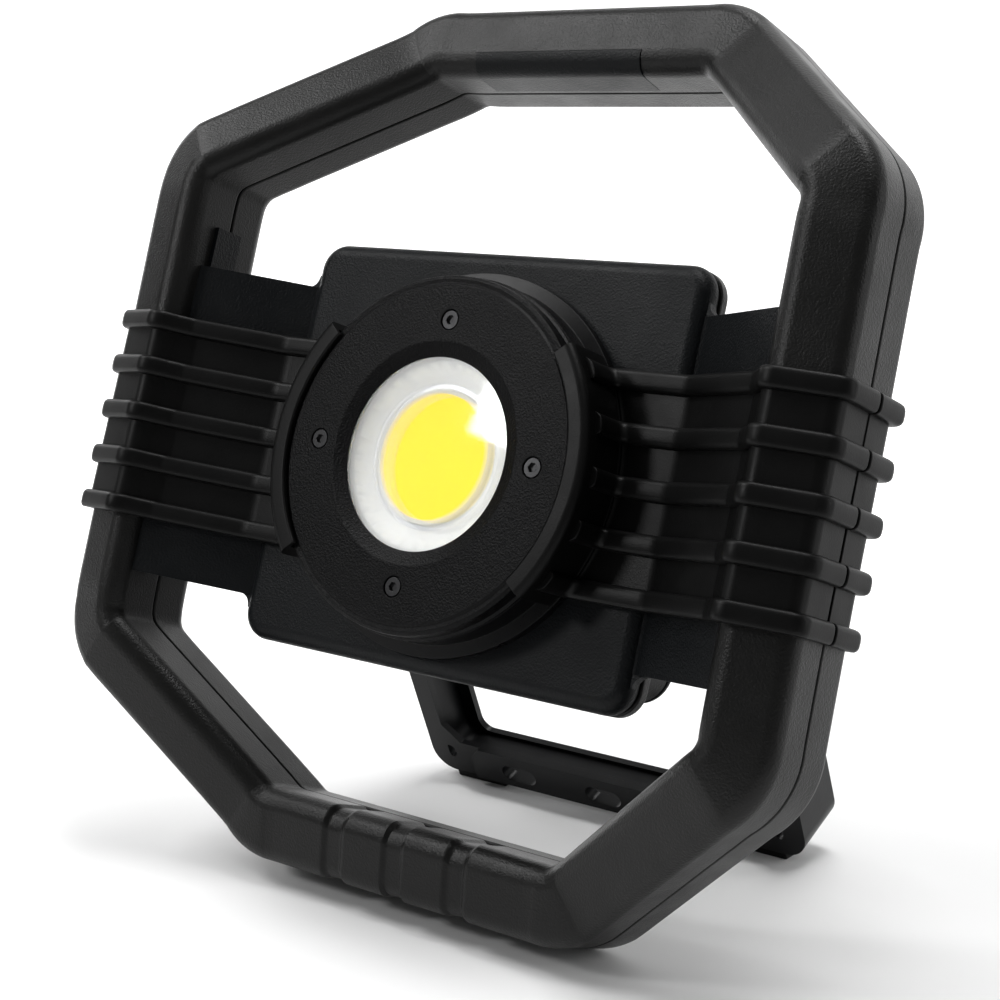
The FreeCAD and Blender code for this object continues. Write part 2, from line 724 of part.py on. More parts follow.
def cob_holder():
    """Ring that clamps the light source's board, held by two screws."""
    body = ring(38.5, 32.5, LED_DEPTH - 2.6, LED_DEPTH - 0.05)
    for x in (-1, 1):
        body = body.cut(disc(1.7, LED_DEPTH - 4, LED_DEPTH + 1, x * HOLDER_SCREW_X, 0))
    return body


def holder_screws():
    """Screws of the holder ring, reaching down to the barrel's floor."""
    floor = FRONT_FACE - 4.1
    screws = []
    for x in (-1, 1):
        shank = disc(1.6, LED_DEPTH - 3.0, floor, x * HOLDER_SCREW_X, 0)
        head = disc(2.8, LED_DEPTH - 3.75, LED_DEPTH - 2.65, x * HOLDER_SCREW_X, 0)
        screws.append(shank.fuse(head))
    return Part.makeCompound(screws)


def thermal_pad():
    return rounded_slab(23.0, -23.0, 23.0, LED_DEPTH + 2.02, LED_DEPTH + 2.6, 2.0)


FIN_PITCH = 6.5
BOARD_FRONT = 13.5
FIN_BACK = BOARD_FRONT - 4.5


def heat_sink():
    """Aluminium heat spreader behind the light source, with fins in the housing."""
    front = LED_DEPTH + 2.62
    pieces = [disc(COLUMN_R, front, FRONT_FACE + 1.0), disc(44.0, FRONT_FACE + 0.6, FRONT_FACE + 4.0)]
    for i in range(-5, 6):
        x = i * FIN_PITCH
        half = math.sqrt(42.0 ** 2 - x ** 2)
        pieces.append(box(x - 0.9, x + 0.9, FRONT_FACE + 3.5, FIN_BACK, -half, half))
    return fused(pieces)


# ---------------------------------------------------------------- electronics


BOARD_POSTS = [(x * FIN_PITCH * 4.5, z * 28.0) for x in (-1, 1) for z in (-1, 1)]


def driver_board():
    board = box(-41, 41, BOARD_FRONT, BOARD_FRONT + 1.6, -34, 34)
    for x, z in lead_places():
        board = board.cut(disc(1.2, BOARD_FRONT - 1, BOARD_FRONT + 2, x, z))
    return board


def driver_parts():
    """Components on the front of the driver board: inductors, controller and capacitors."""
    face = BOARD_FRONT - 0.05
    parts = [disc(6.0, face - 3.2, face, -16, z) for z in (-14, 14)]
    parts.append(box(-2, 8, face - 1.2, face, -6, 6))
    parts += [box(15, 23, face - 2.4, face, z, z + 6) for z in (-26, -13, 0, 13)]
    return Part.makeCompound(parts)


def board_posts():
    """Posts that carry the driver board on the heat sink, between its fins."""
    return Part.makeCompound([disc(1.9, FRONT_FACE + 4.02, BOARD_FRONT - 0.02, x, z) for x, z in BOARD_POSTS])


CELL_R = 9.0
CELL_LENGTH = 65.0
CELL_LOW = -47.0
CELL_DEPTH = BOX_BACK - 17.0
CELL_PLACES = [(i - 2.5) * 18.6 for i in range(6)]


def battery_cells():
    """Six cylindrical cells side by side, standing along the box."""
    return Part.makeCompound([Part.makeCylinder(CELL_R, CELL_LENGTH, Vector(x, CELL_DEPTH, CELL_LOW))
                              for x in CELL_PLACES])


def cell_holder():
    """Two frames, near the ends of the cells, that carry them in the box."""
    bars = []
    for z in (CELL_LOW + 8.0, CELL_LOW + CELL_LENGTH - 11.0):
        bar = box(-56.6, 56.6, CELL_DEPTH - CELL_R + 1.5, CELL_DEPTH + CELL_R - 1.5, z, z + 3.0)
        for x in CELL_PLACES:
            bar = bar.cut(Part.makeCylinder(CELL_R + 0.05, 5.0, Vector(x, CELL_DEPTH, z - 1)))
        bars.append(bar)
    return Part.makeCompound(bars)


def cell_strips():
    """Nickel strips that join the ends of neighbouring cells in pairs."""
    strips = []
    for i in range(0, 6, 2):
        for z in (CELL_LOW - 0.35, CELL_LOW + CELL_LENGTH + 0.05):
            strips.append(box(CELL_PLACES[i] - 5, CELL_PLACES[i + 1] + 5, CELL_DEPTH - 3.5, CELL_DEPTH + 3.5,
                              z, z + 0.3))
    return Part.makeCompound(strips)


def charge_board():
    """Board behind the lid: it carries the switch, charge lights, socket and cell protection."""
    return box(-36, 40, BOX_BACK - 6.6, BOX_BACK - 5.2, -46, 46)


def power_switch():
    """Tactile switch under the power button."""
    base = box(-3.1, 3.1, BOX_BACK - 5.15, BOX_BACK - 3.4, BUTTON_Z - 3.1, BUTTON_Z + 3.1)
    return base.fuse(disc(1.7, BOX_BACK - 3.5, BOX_BACK - 2.9, 0, BUTTON_Z))


def power_button():
    """Round push button: a cap with a retaining flange behind the lid and a post over the switch."""
    back = BOX_BACK + 1.8
    cap = disc(BUTTON_R, BOX_BACK - 3.1, back, 0, BUTTON_Z)
    cap = fillet_front_edges(cap, 0.8, back)
    flange = disc(BUTTON_R + 1.2, BOX_BACK - 3.1, BOX_BACK - 2.7, 0, BUTTON_Z)
    hollow = disc(BUTTON_R - 2.5, BOX_BACK - 4.0, BOX_BACK - 1.2, 0, BUTTON_Z)
    post = disc(1.5, BOX_BACK - 2.0, BOX_BACK - 1.0, 0, BUTTON_Z)
    return fused([fused([cap, flange]).cut(hollow), post])


def charge_window():
    """Clear window over the four charge lights."""
    return box(WINDOW_X - 8.8, WINDOW_X + 8.8, BOX_BACK - 2.2, BOX_BACK + 0.2, BUTTON_Z - 2.8, BUTTON_Z + 2.8)


def charge_leds():
    face = BOX_BACK - 5.15
    return Part.makeCompound([box(WINDOW_X + 4.2 * i - 7.2, WINDOW_X + 4.2 * i - 5.2, face, face + 1.2,
                                  BUTTON_Z - 0.8, BUTTON_Z + 0.8) for i in range(4)])


def charge_socket():
    """The charging socket's metal shell, with its tongue."""
    shell = rounded_slab(4.5, SOCKET_Z - 1.6, SOCKET_Z + 1.6, BOX_BACK - 5.1, BOX_BACK - 0.6, 1.55)
    hollow = rounded_slab(4.1, SOCKET_Z - 1.2, SOCKET_Z + 1.2, BOX_BACK - 4.3, BOX_BACK, 1.15)
    tongue = box(-3.2, 3.2, BOX_BACK - 4.6, BOX_BACK - 1.6, SOCKET_Z - 0.35, SOCKET_Z + 0.35)
    return shell.cut(hollow).fuse(tongue)


PORT_HINGE_Y = BOX_BACK + 2.6
PORT_HINGE_Z = SOCKET_Z - 9.5


def port_cover():
    """Rubber cover of the charging socket, with a knuckle along its lower edge."""
    flap = rounded_slab(9.0, SOCKET_Z - 6.5, SOCKET_Z + 6.5, BOX_BACK + 0.35, BOX_BACK + 2.4, 3.0)
    strap = box(-4.0, 4.0, BOX_BACK + 0.9, BOX_BACK + 2.4, PORT_HINGE_Z, SOCKET_Z - 6.0)
    pull = box(-3.0, 3.0, BOX_BACK + 0.35, BOX_BACK + 3.2, SOCKET_Z + 6.0, SOCKET_Z + 8.5)
    knuckle = Part.makeCylinder(2.1, 8.0, Vector(-4.0, PORT_HINGE_Y, PORT_HINGE_Z), Vector(1, 0, 0))
    bore = Part.makeCylinder(1.1 + RUNNING_FIT, 10.0, Vector(-5.0, PORT_HINGE_Y, PORT_HINGE_Z),
                             Vector(1, 0, 0))
    return fused([flap, strap, pull, knuckle]).cut(bore)


def port_hinge():
    """The cover's hinge pin on two posts, fixed to the lid."""
    pieces = [Part.makeCylinder(1.1, 14.0, Vector(-7.0, PORT_HINGE_Y, PORT_HINGE_Z), Vector(1, 0, 0))]
    for x in (-7.0, 4.6):
        pieces.append(box(x, x + 2.4, BOX_BACK + 0.02, PORT_HINGE_Y + 1.3,
                          PORT_HINGE_Z - 1.6, PORT_HINGE_Z + 1.6))
    return fused(pieces)


def lamp_leads():
    """Two leads from the driver board, through the barrel's floor, to the light source's board."""
    front = LED_DEPTH + 1.0
    leads = []
    for x, z in lead_places():
        run = Part.makeCylinder(0.9, BOARD_FRONT - 0.05 - front, Vector(x, front, z), Vector(0, 1, 0))
        target = Vector(math.copysign(27.1, x), front, 21.0)
        start = Vector(x, front, z)
        reach = target - start
        leads.append(run.fuse(Part.makeCylinder(0.9, reach.Length, start, reach)).removeSplitter())
    return Part.makeCompound(leads)


# ---------------------------------------------------------------- stand, built with its pivot at the origin


def bent_outline(half_x, length, corner, y_front, y_back):
    """A slab as wide as the stand, rounded at its two bottom corners and cut level with the pivot."""
    slab = rounded_slab(half_x, -length, 60.0, y_front, y_back, corner)
    return slab.cut(box(-200, 200, y_front - 1, y_back + 1, 0, 100))


def bent_channel(length):
    """The channel that makes both legs and the bottom: an outer web with a flange along each edge."""
    half = LEG_DEPTH / 2
    web = bent_outline(LEG_OUTER, length, LEG_CORNER, -half, half)
    web = web.cut(bent_outline(LEG_OUTER - LEG_WALL, length - LEG_WALL, LEG_CORNER - LEG_WALL,
                               -half - 1, half + 1))
    pieces = [web]
    below_pivot = box(-200, 200, -half, half, -length, -16.0)
    for y in (-half, half - LEG_WALL):
        flange = bent_outline(LEG_OUTER, length, LEG_CORNER, y, y + LEG_WALL)
        flange = flange.cut(bent_outline(LEG_OUTER - LEG_FLANGE, length - BOTTOM_FLANGE,
                                         LEG_CORNER - BOTTOM_FLANGE, y - 1, y + LEG_WALL + 1))
        pieces.append(flange.common(below_pivot))
    for side in (-1, 1):
        inside = Vector(side * (LEG_OUTER - LEG_WALL), 0, 0)
        eye = Part.makeCylinder(half, LEG_WALL, inside, Vector(side, 0, 0))
        pieces.append(eye)
    return pieces


def cross_web(length):
    """The upright web between the legs, with a sloping corner at each end; each corner has a hole."""
    front = -LEG_DEPTH / 2
    web = bent_outline(LEG_OUTER, length, LEG_CORNER, front, front + LEG_WALL)
    top = -length + CROSS_HEIGHT
    web = web.common(box(-200, 200, front - 1, front + LEG_WALL + 1, -length, top + GUSSET))
    inner = LEG_OUTER - LEG_FLANGE
    above = [(-inner, top + GUSSET), (-inner + GUSSET, top), (inner - GUSSET, top), (inner, top + GUSSET)]
    window = polygon_face([(x, front - 1, z) for x, z in above]).extrude(Vector(0, LEG_WALL + 2, 0))
    web = web.cut(window)
    for side in (-1, 1):
        web = web.cut(disc(CORNER_HOLE_R, front - 1, front + LEG_WALL + 1,
                           side * (LEG_OUTER - CORNER_HOLE_IN), -length + CORNER_HOLE_IN))
    return web


def slotted_plate(length):
    """The plate on the front of the cross web, with its top corners cut off."""
    front = -LEG_DEPTH / 2 - PLATE_THICK
    low = -length + 1.5
    top = -length + PLATE_HEIGHT
    outline = [(-PLATE_HALF, low), (PLATE_HALF, low), (PLATE_HALF, top - 4.0), (PLATE_HALF - 4.0, top),
               (-PLATE_HALF + 4.0, top), (-PLATE_HALF, top - 4.0)]
    return polygon_face([(x, front, z) for x, z in outline]).extrude(Vector(0, PLATE_THICK + 0.5, 0))


def slots(y_front, y_back, z):
    """Three slots in a line, side by side."""
    cutters = []
    reach = (SLOT_LENGTH - SLOT_WIDTH) / 2
    for x in (-SLOT_SPACING, 0, SLOT_SPACING):
        cutters.append(box(x - reach, x + reach, y_front, y_back, z - SLOT_WIDTH / 2, z + SLOT_WIDTH / 2))
        for end in (-reach, reach):
            cutters.append(disc(SLOT_WIDTH / 2, y_front, y_back, x + end, z))
    return cutters


def stand_bracket(length):
    """The stand: a channel bent to a U, a cross web and a slotted plate."""
    front = -LEG_DEPTH / 2
    bracket = fused(bent_channel(length) + [cross_web(length), slotted_plate(length)])
    for cutter in slots(front - PLATE_THICK - 1, front + LEG_WALL + 1, -length + PLATE_HEIGHT * 0.5):
        bracket = bracket.cut(cutter)
    for side in (-1, 1):
        start = Vector(side * (LEG_OUTER + 1), 0, 0)
        bracket = bracket.cut(Part.makeCylinder(PIVOT_R + RUNNING_FIT, 5, start, Vector(-side, 0, 0)))
    return bracket


def stand_pad(length):
    """A rubber pad under the front edge of the right-hand foot, thick enough to be cut flush with the floor."""
    front = -LEG_DEPTH / 2
    inner = LEG_OUTER - LEG_CORNER - 22.0
    return box(inner, LEG_OUTER - LEG_CORNER, front + 0.3, front + PAD_WIDTH, -length - 5.0, -length - 0.02)


def pivot_bolts():
    """Shoulder bolts on which the legs turn, with domed heads outside the legs."""
    bolts = []
    for side in (-1, 1):
        shank = Part.makeCylinder(PIVOT_R, LEG_OUTER + 0.6 - BOX_HALF + SKIN,
                                  Vector(side * (BOX_HALF - SKIN), 0, 0), Vector(side, 0, 0))
        head = Part.makeCylinder(7.0, 3.0, Vector(side * (LEG_OUTER + 0.5), 0, 0), Vector(side, 0, 0))
        socket = Part.makeCylinder(2.5, 3.0, Vector(side * (LEG_OUTER + 1.8), 0, 0), Vector(side, 0, 0))
        bolts.append(shank.fuse(head).cut(socket))
    return Part.makeCompound(bolts)


def pivot_washers():
    """Friction washers between the bosses and the legs."""
    washers = []
    for side in (-1, 1):
        start = Vector(side * (LEG_OUTER - LEG_WALL - 1.05), 0, 0)
        washer = Part.makeCylinder(6.4, 0.75, start, Vector(side, 0, 0))
        washers.append(washer.cut(Part.makeCylinder(PIVOT_R + 0.05, 0.75, start, Vector(side, 0, 0))))
    return Part.makeCompound(washers)


# ---------------------------------------------------------------- assembly


def light_nodes():
    """Every piece of the light, in the light's own frame."""
    nodes = {}
    nodes["frame_front_shell"] = frame_front_shell()
    nodes["frame_rear_shell"] = frame_rear_shell()
    nodes["frame_screws"] = frame_screws()
    nodes["top_grip_insert"] = insert_blank(0.0)
    nodes["front_housing"] = front_housing()
    nodes["housing_seal"] = housing_seal()
    nodes["rear_cover"] = rear_cover()
    nodes["cover_screws"] = cover_screws()
    nodes["battery_box"] = battery_box()
    nodes["battery_lid"] = battery_lid()
    nodes["lid_screws"] = lid_screws()
    nodes["head_barrel"] = head_barrel()
    nodes["bezel_ring"] = bezel_ring()
    nodes["bezel_screws"] = bezel_screws()
    nodes["lens_seal"] = lens_seal()
    nodes["lens"] = lens()
    nodes["reflector"] = reflector()
    nodes["cob_board"] = cob_board()
    nodes["cob_light"] = cob_light()
    nodes["cob_dam"] = cob_dam()
    nodes["cob_holder"] = cob_holder()
    nodes["thermal_pad"] = thermal_pad()
    nodes["heat_sink"] = heat_sink()
    nodes["driver_board"] = driver_board()
    nodes["driver_parts"] = driver_parts()
    nodes["battery_cells"] = battery_cells()
    nodes["cell_holder"] = cell_holder()
    nodes["cell_strips"] = cell_strips()
    nodes["charge_board"] = charge_board()
    nodes["power_switch"] = power_switch()
    nodes["power_button"] = power_button()
    nodes["charge_window"] = charge_window()
    nodes["charge_leds"] = charge_leds()
    nodes["charge_socket"] = charge_socket()
    nodes["port_cover"] = port_cover()
    nodes["port_hinge"] = port_hinge()
    nodes["board_posts"] = board_posts()
    nodes["holder_screws"] = holder_screws()
    nodes["lamp_leads"] = lamp_leads()
    barrel_space = disc(BARREL_R + 0.1, BEZEL_FRONT + 3.0, FRONT_FACE)
    flange_space = disc(FLANGE_R + 0.1, FRONT_FACE - 4.2, FRONT_FACE + 20.0)
    bridge_space = prism(bridge_outline(40.0), -BRIDGE_BOTTOM - 20, BRIDGE_TOP + 20)
    housing_space = box(-200, HOUSING_HALF, FRONT_FACE - 0.05, 60, -100, 100)
    under = [bar_core(False), barrel_space, flange_space, bridge_space, housing_space]
    nodes["grip_right"] = grip_front(under)
    nodes["grip_left"] = mirrored(nodes["grip_right"])
    nodes["grip_rear_right"] = grip_rear().cut(bar_core(True)).cut(nodes["front_housing"])
    nodes["grip_rear_left"] = mirrored(nodes["grip_rear_right"])
    return nodes


def place_light(shape):
    placed = shape.copy()
    placed.rotate(Vector(0, 0, 0), Vector(1, 0, 0), -LEAN)
    return placed


def set_at_pivot(shape, pivot, lean):
    """A piece built round the stand's pivot, turned about it and set in its place."""
    placed = shape.copy()
    placed.rotate(Vector(0, 0, 0), Vector(1, 0, 0), lean)
    placed.translate(pivot)
    return placed


def main():
    nodes = {name: place_light(shape) for name, shape in light_nodes().items()}
    floor = nodes["frame_rear_shell"].optimalBoundingBox().ZMin
    pivot = Rotation(Vector(1, 0, 0), -LEAN).multVec(Vector(0, PIVOT_DEPTH, PIVOT_HEIGHT))
    drop = pivot.z - floor
    front_reach = LEG_DEPTH / 2 * math.sin(math.radians(LEG_LEAN))
    length = (drop - front_reach - PAD_THICK) / math.cos(math.radians(LEG_LEAN))
    nodes["stand_bracket"] = stand_bracket(length)
    pad = stand_pad(length)
    nodes["stand_pad_right"] = pad
    nodes["stand_pad_left"] = mirrored(pad)
    for name in ("stand_bracket", "stand_pad_right", "stand_pad_left"):
        nodes[name] = set_at_pivot(nodes[name], pivot, LEG_LEAN)
    below = box(-400, 400, -400, 400, floor - 400, floor)
    for name in ("stand_pad_right", "stand_pad_left"):
        nodes[name] = nodes[name].cut(below)
    nodes["pivot_bolts"] = set_at_pivot(pivot_bolts(), pivot, 0)
    nodes["pivot_washers"] = set_at_pivot(pivot_washers(), pivot, 0)

    bounds = FreeCAD.BoundBox()
    for shape in nodes.values():
        bounds.add(shape.optimalBoundingBox())
    shift = Vector(-bounds.Center.x, -bounds.Center.y, -floor)
    for name, shape in nodes.items():
        shape.translate(shift)
        shape.exportStep(f"parts/{name}.step")
        print(f"{name}: {len(shape.Solids)} solids, {shape.Volume / 1000:.1f} cm3, valid {shape.isValid()}")
    print("pivot", pivot + shift, "bounds", bounds, "shift", shift)


main()
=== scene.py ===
"""Looks for the free-standing battery work light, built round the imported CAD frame."""
import json
import math

import bmesh
import bpy
from mathutils import Matrix, Vector


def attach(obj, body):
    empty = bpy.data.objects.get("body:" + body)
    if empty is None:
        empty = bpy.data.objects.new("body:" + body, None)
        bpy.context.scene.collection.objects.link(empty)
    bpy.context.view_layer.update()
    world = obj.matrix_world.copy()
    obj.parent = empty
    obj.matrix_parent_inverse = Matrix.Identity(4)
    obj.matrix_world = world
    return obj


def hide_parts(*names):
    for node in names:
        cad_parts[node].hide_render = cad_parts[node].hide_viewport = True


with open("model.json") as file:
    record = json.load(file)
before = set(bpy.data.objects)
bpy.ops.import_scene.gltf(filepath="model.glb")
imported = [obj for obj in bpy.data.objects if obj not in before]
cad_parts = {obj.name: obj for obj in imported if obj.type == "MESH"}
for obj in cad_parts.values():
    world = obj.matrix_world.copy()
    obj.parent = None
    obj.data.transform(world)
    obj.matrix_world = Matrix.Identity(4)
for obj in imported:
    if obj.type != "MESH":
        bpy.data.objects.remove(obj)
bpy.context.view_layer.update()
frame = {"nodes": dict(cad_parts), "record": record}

# ---------------------------------------------------------------- dimensions
# Millimetres in the light's own frame: X right, Y back along the lamp's axis, Z up.

LEAN = 20.0                          # the light leans back this far, degrees
PIVOT = (0.0, 33.0, 12.0)            # where the stand turns, in the light's own frame

HALF_WIDTH = 135.0                   # carrying frame, outer outline
TOP = 153.0
BOTTOM = 134.3
SHOULDER_TOP = 93.5
SHOULDER_BOTTOM = 78.0
HALF_TOP_BAR = 60.3
HALF_BOTTOM_BAR = 64.2
BAR = 23.7                           # width of the tube
BAR_DEPTH = 36.5
PARTING = 20.0                       # depth of the joint between the two shells
PARTING_GAP = 0.5
WALL = 2.6
NOSE_INNER = -0.8                    # depth of the tube's sloping front at its inner and outer edges
NOSE_OUTER = 4.6
NOSE_INNER_R = 6.4                   # radius of each of these edges, and of those at the tube's back
NOSE_OUTER_R = 5.6
BACK_INNER_R = 4.6
BACK_OUTER_R = 4.2
RIM_R = 0.7                          # edges of both shells at the parting line
WALL_RIM_R = 0.3
INNER_BEND = 5.0                     # bend of the inner outline at each corner
SIDE_FORWARD_TOP = 36.0
SIDE_FORWARD_BOTTOM = 32.2
BOTTOM_FORWARD = 1.4
SCREW_POCKET_R = 3.4
SCREW_POCKET_DEPTH = 1.8
SCREW_SHARE = 0.7                    # where the screws sit along half a bar, and how far from a shoulder
SCREW_FROM_SHOULDER = 20.0
GROOVE_CENTRES = (-24.3, 0.0, 24.3)  # shallow grooves across the bottom bar
GROOVE_WIDTH = 7.4
GROOVE_DEPTH = 0.9
GROOVE_SLOPE = 1.2                   # length of a groove's sloping side
INSERT_MIDDLE = -3.0                 # grained insert in the top bar's nose and underside
INSERT_HALF = 32.0
INSERT_DEPTH = 1.0
INSERT_RISE = 7.0
INSERT_BACK = 17.5
INSERT_SLANT = 1.7
INSERT_PROUD = 0.04
SEAM = 0.14
BEND_STEPS = 14                      # fineness of the swept tube: steps in a bend, and lengths along a bar
STRAIGHT_STEP = 3.0
GROOVE_STEP = 0.6
EASE_REACH = 11.0                    # a change of slope is spread this far along the bars

FRONT_FACE = -8.0                    # housing and bridges
HOUSING_HALF = 75.5
BRIDGE_ROOT = 8.3

BARREL_R = 56.0                      # lamp head
BEZEL_FRONT = -27.0
BEZEL_R = 55.2
LENS_FRONT = BEZEL_FRONT + 2.2

RIB_PITCH = 15.6                     # rubber grips
RIB_WIDTH = 6.4
RIB_HEIGHT = 3.3
RIB_COUNT = 5
RIB_STEPS = 12
RIB_SQUARENESS = 0.62                # 1 is a round rib, 0 a square one
GRIP_SKIN = 0.4                      # rubber between the ribs, on the bars and beside the lamp head
PANEL_SKIN = 1.6
GRIP_SINK = 0.3                      # the rubber's inside lies this deep in the parts it covers
GRIP_HALF_HEIGHT = (RIB_COUNT - 1) / 2 * RIB_PITCH + RIB_WIDTH / 2 - 0.3
LIP_ANGLE = 39.0
LIP_R = 59.5
LIP_FRONT = BEZEL_FRONT - 1.6
LIP_STEPS = 60

# Radius of the softened edges of each CAD node that is shown with its own form.
SOFT_EDGES = {
    "front_housing": 0.8,
    "housing_seal": 0.3,
    "rear_cover": 0.7,
    "battery_box": 0.8,
    "battery_lid": 0.6,
    "head_barrel": 0.4,
    "bezel_ring": 0.25,
    "bezel_screws": 0.2,
    "cover_screws": 0.15,
    "frame_screws": 0.2,
    "lid_screws": 0.15,
    "stand_bracket": 0.6,
    "stand_pad_right": 0.6,
    "stand_pad_left": 0.6,
    "pivot_bolts": 0.5,
    "pivot_washers": 0.12,
    "power_button": 0.5,
    "port_cover": 0.4,
    "charge_window": 0.3,
    "cob_dam": 0.3,
    "lens": 0.15,
    "reflector": 0.12,
    "cob_holder": 0.3,
}

# The room, in metres and watts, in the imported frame.

ROOM_MIDDLE = Vector((0.0, 0.0, 0.14))
SOFTBOXES = [                        # name, place, size, power
    ("key", (-0.75, -0.45, 1.25), (0.6, 0.5), 9.5),
    ("top", (0.1, 0.12, 1.35), (0.8, 0.5), 12.0),
    ("left", (-1.2, 0.25, 0.35), (0.3, 0.9), 3.0),
    ("right", (1.1, 0.3, 0.45), (0.25, 0.8), 2.6),
]
WORLD_STRENGTH = 0.18

HIGHLIGHT_DISTANCE = 1.0             # small softbox mirrored in the lens
HIGHLIGHT_SIZE = 0.16
HIGHLIGHT_POWER = 2.4
HIGHLIGHT_RIGHT = 0.018              # its lower left corner, from the mirrored middle of the lens
HIGHLIGHT_UP = 0.034

FLOOR_HALF = 9.0
FLOOR_FRONT = -4.0
FLOOR_BACK = 2.0                     # here the floor starts to bend up
FLOOR_BEND = 1.2
FLOOR_BEND_STEPS = 12
BACKDROP_TOP = 5.0
GLOW_START = 0.05                    # the paper's own glow grows between these distances behind the light
GLOW_END = 0.75
GLOW_STRENGTH = 0.9

LENS_LENGTH = 69.6                   # camera, in millimetres
SENSOR_WIDTH = 36.0
NEAR_CLIP = 0.01
CAMERA_PLACE = (0.3631, -0.4867, 0.2477)
CAMERA_AIM = (-0.5928, 0.7802, -0.1996)

# ---------------------------------------------------------------- the light's own frame


def hinge_place():
    """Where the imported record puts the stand's pivot, in metres."""
    for joint in frame["record"]["behaviour"]["joints"]:
        if joint["name"] == "stand_hinge":
            return Vector(joint["pos_m"])


TILT = Matrix.Rotation(math.radians(-LEAN), 3, "X")
SHIFT = hinge_place() - TILT @ (Vector(PIVOT) / 1000)


def placed(point):
    """A point of the light's own frame, in millimetres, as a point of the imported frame, in metres."""
    return TILT @ (Vector(point) / 1000) + SHIFT


# ---------------------------------------------------------------- bodies and slots of the CAD nodes

BODY_OF = {}
for body_name, node_names in frame["record"]["behaviour"]["bodies"].items():
    for node_name in node_names:
        BODY_OF[node_name] = body_name
SLOT_OF = {part["node"]: part["material_slot"] for part in frame["record"]["subparts"]}

# ---------------------------------------------------------------- mesh helpers

WELD = 2e-6                          # points closer than this, in metres, are one
FLAT_ANGLE = 0.4                     # faces that meet at less than this, in degrees, are one
SHARP_ANGLE = 34.0
BEVEL_SEGMENTS = 3
CIRCLE_STEPS = 48


def smooth_shaded(mesh, angle):
    """Smooth shading, with a crease wherever two faces meet at more than the angle."""
    mesh.shade_smooth()
    mesh.set_sharp_from_angle(angle=math.radians(angle))


def new_object(name, verts, faces):
    mesh = bpy.data.meshes.new(name)
    mesh.from_pydata(verts, [], faces)
    mesh.update()
    obj = bpy.data.objects.new(name, mesh)
    bpy.context.scene.collection.objects.link(obj)
    return obj


def face_outwards(mesh):
    """Welds doubled points and turns every face outwards."""
    cage = bmesh.new()
    cage.from_mesh(mesh)
    bmesh.ops.remove_doubles(cage, verts=cage.verts, dist=WELD)
    bmesh.ops.dissolve_degenerate(cage, edges=cage.edges, dist=WELD / 2)
    bmesh.ops.recalc_face_normals(cage, faces=cage.faces)
    cage.to_mesh(mesh)
    cage.free()


def grid(rows, close_rows):
    """Quads between neighbouring rows of points; each row is a closed loop."""
    count = len(rows[0])
    faces = []
    last = len(rows) if close_rows else len(rows) - 1
    for i in range(last):
        j = (i + 1) % len(rows)
        for k in range(count):
            n = (k + 1) % count
            here, there = i * count, j * count
            faces.append((here + k, here + n, there + n, there + k))
    return faces


def lofted(name, rows, close_rows=False):
    """A closed skin over rows of points given in the light's own frame."""
    count = len(rows[0])
    verts = [placed(p) for row in rows for p in row]
    faces = grid(rows, close_rows)
    if not close_rows:
        faces.append(tuple(range(count)))
        faces.append(tuple(range((len(rows) - 1) * count, len(rows) * count)))
    obj = new_object(name, verts, faces)
    face_outwards(obj.data)
    return obj


def applied(obj):
    """Bakes an object's modifiers into its mesh."""
    graph = bpy.context.evaluated_depsgraph_get()
    mesh = bpy.data.meshes.new_from_object(obj.evaluated_get(graph))
    obj.modifiers.clear()
    obj.data = mesh


def bevel(obj, width, angle=SHARP_ANGLE):
    """Rounds an object's sharp edges; the width is in millimetres."""
    rounding = obj.modifiers.new("edges", "BEVEL")
    rounding.width = width / 1000
    rounding.segments = BEVEL_SEGMENTS
    rounding.limit_method = "ANGLE"
    rounding.angle_limit = math.radians(angle)
    rounding.miter_outer = "MITER_ARC"
    applied(obj)


def cut_away(obj, cutter):
    """Cuts one object's form out of another, and removes the cutter."""
    cut = obj.modifiers.new("pocket", "BOOLEAN")
    cut.operation = "DIFFERENCE"
    cut.solver = "EXACT"
    cut.object = cutter
    applied(obj)
    bpy.data.objects.remove(cutter)


def cut_discs(obj, places, radius):
    """Cuts round pockets into an object; places are (x, z, depth from, depth to)."""
    angles = [math.tau * i / CIRCLE_STEPS for i in range(CIRCLE_STEPS)]
    for x, z, start, end in places:
        circle = [(x + radius * math.cos(a), z + radius * math.sin(a)) for a in angles]
        rows = [[(px, y, pz) for px, pz in circle] for y in (start, end)]
        cut_away(obj, lofted("cutter", rows))


def joined(name, objects):
    """Several objects as one."""
    cage = bmesh.new()
    for obj in objects:
        cage.from_mesh(obj.data)
    whole = bpy.data.meshes.new(name)
    cage.to_mesh(whole)
    cage.free()
    for obj in objects:
        bpy.data.objects.remove(obj)
    piece = bpy.data.objects.new(name, whole)
    bpy.context.scene.collection.objects.link(piece)
    return piece


def stand_for(obj, node, angle=38.0):
    """Makes an object the shown form of a CAD node: it rides, replaces and takes the node's finish."""
    slot_name = SLOT_OF[node]
    obj.data.materials.clear()
    obj.data.materials.append(bpy.data.materials[slot_name])
    smooth_shaded(obj.data, angle)
    weighted = obj.modifiers.new("normals", "WEIGHTED_NORMAL")
    weighted.keep_sharp = True
    weighted.weight = 100
    applied(obj)
    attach(obj, BODY_OF[node])
    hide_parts(node)


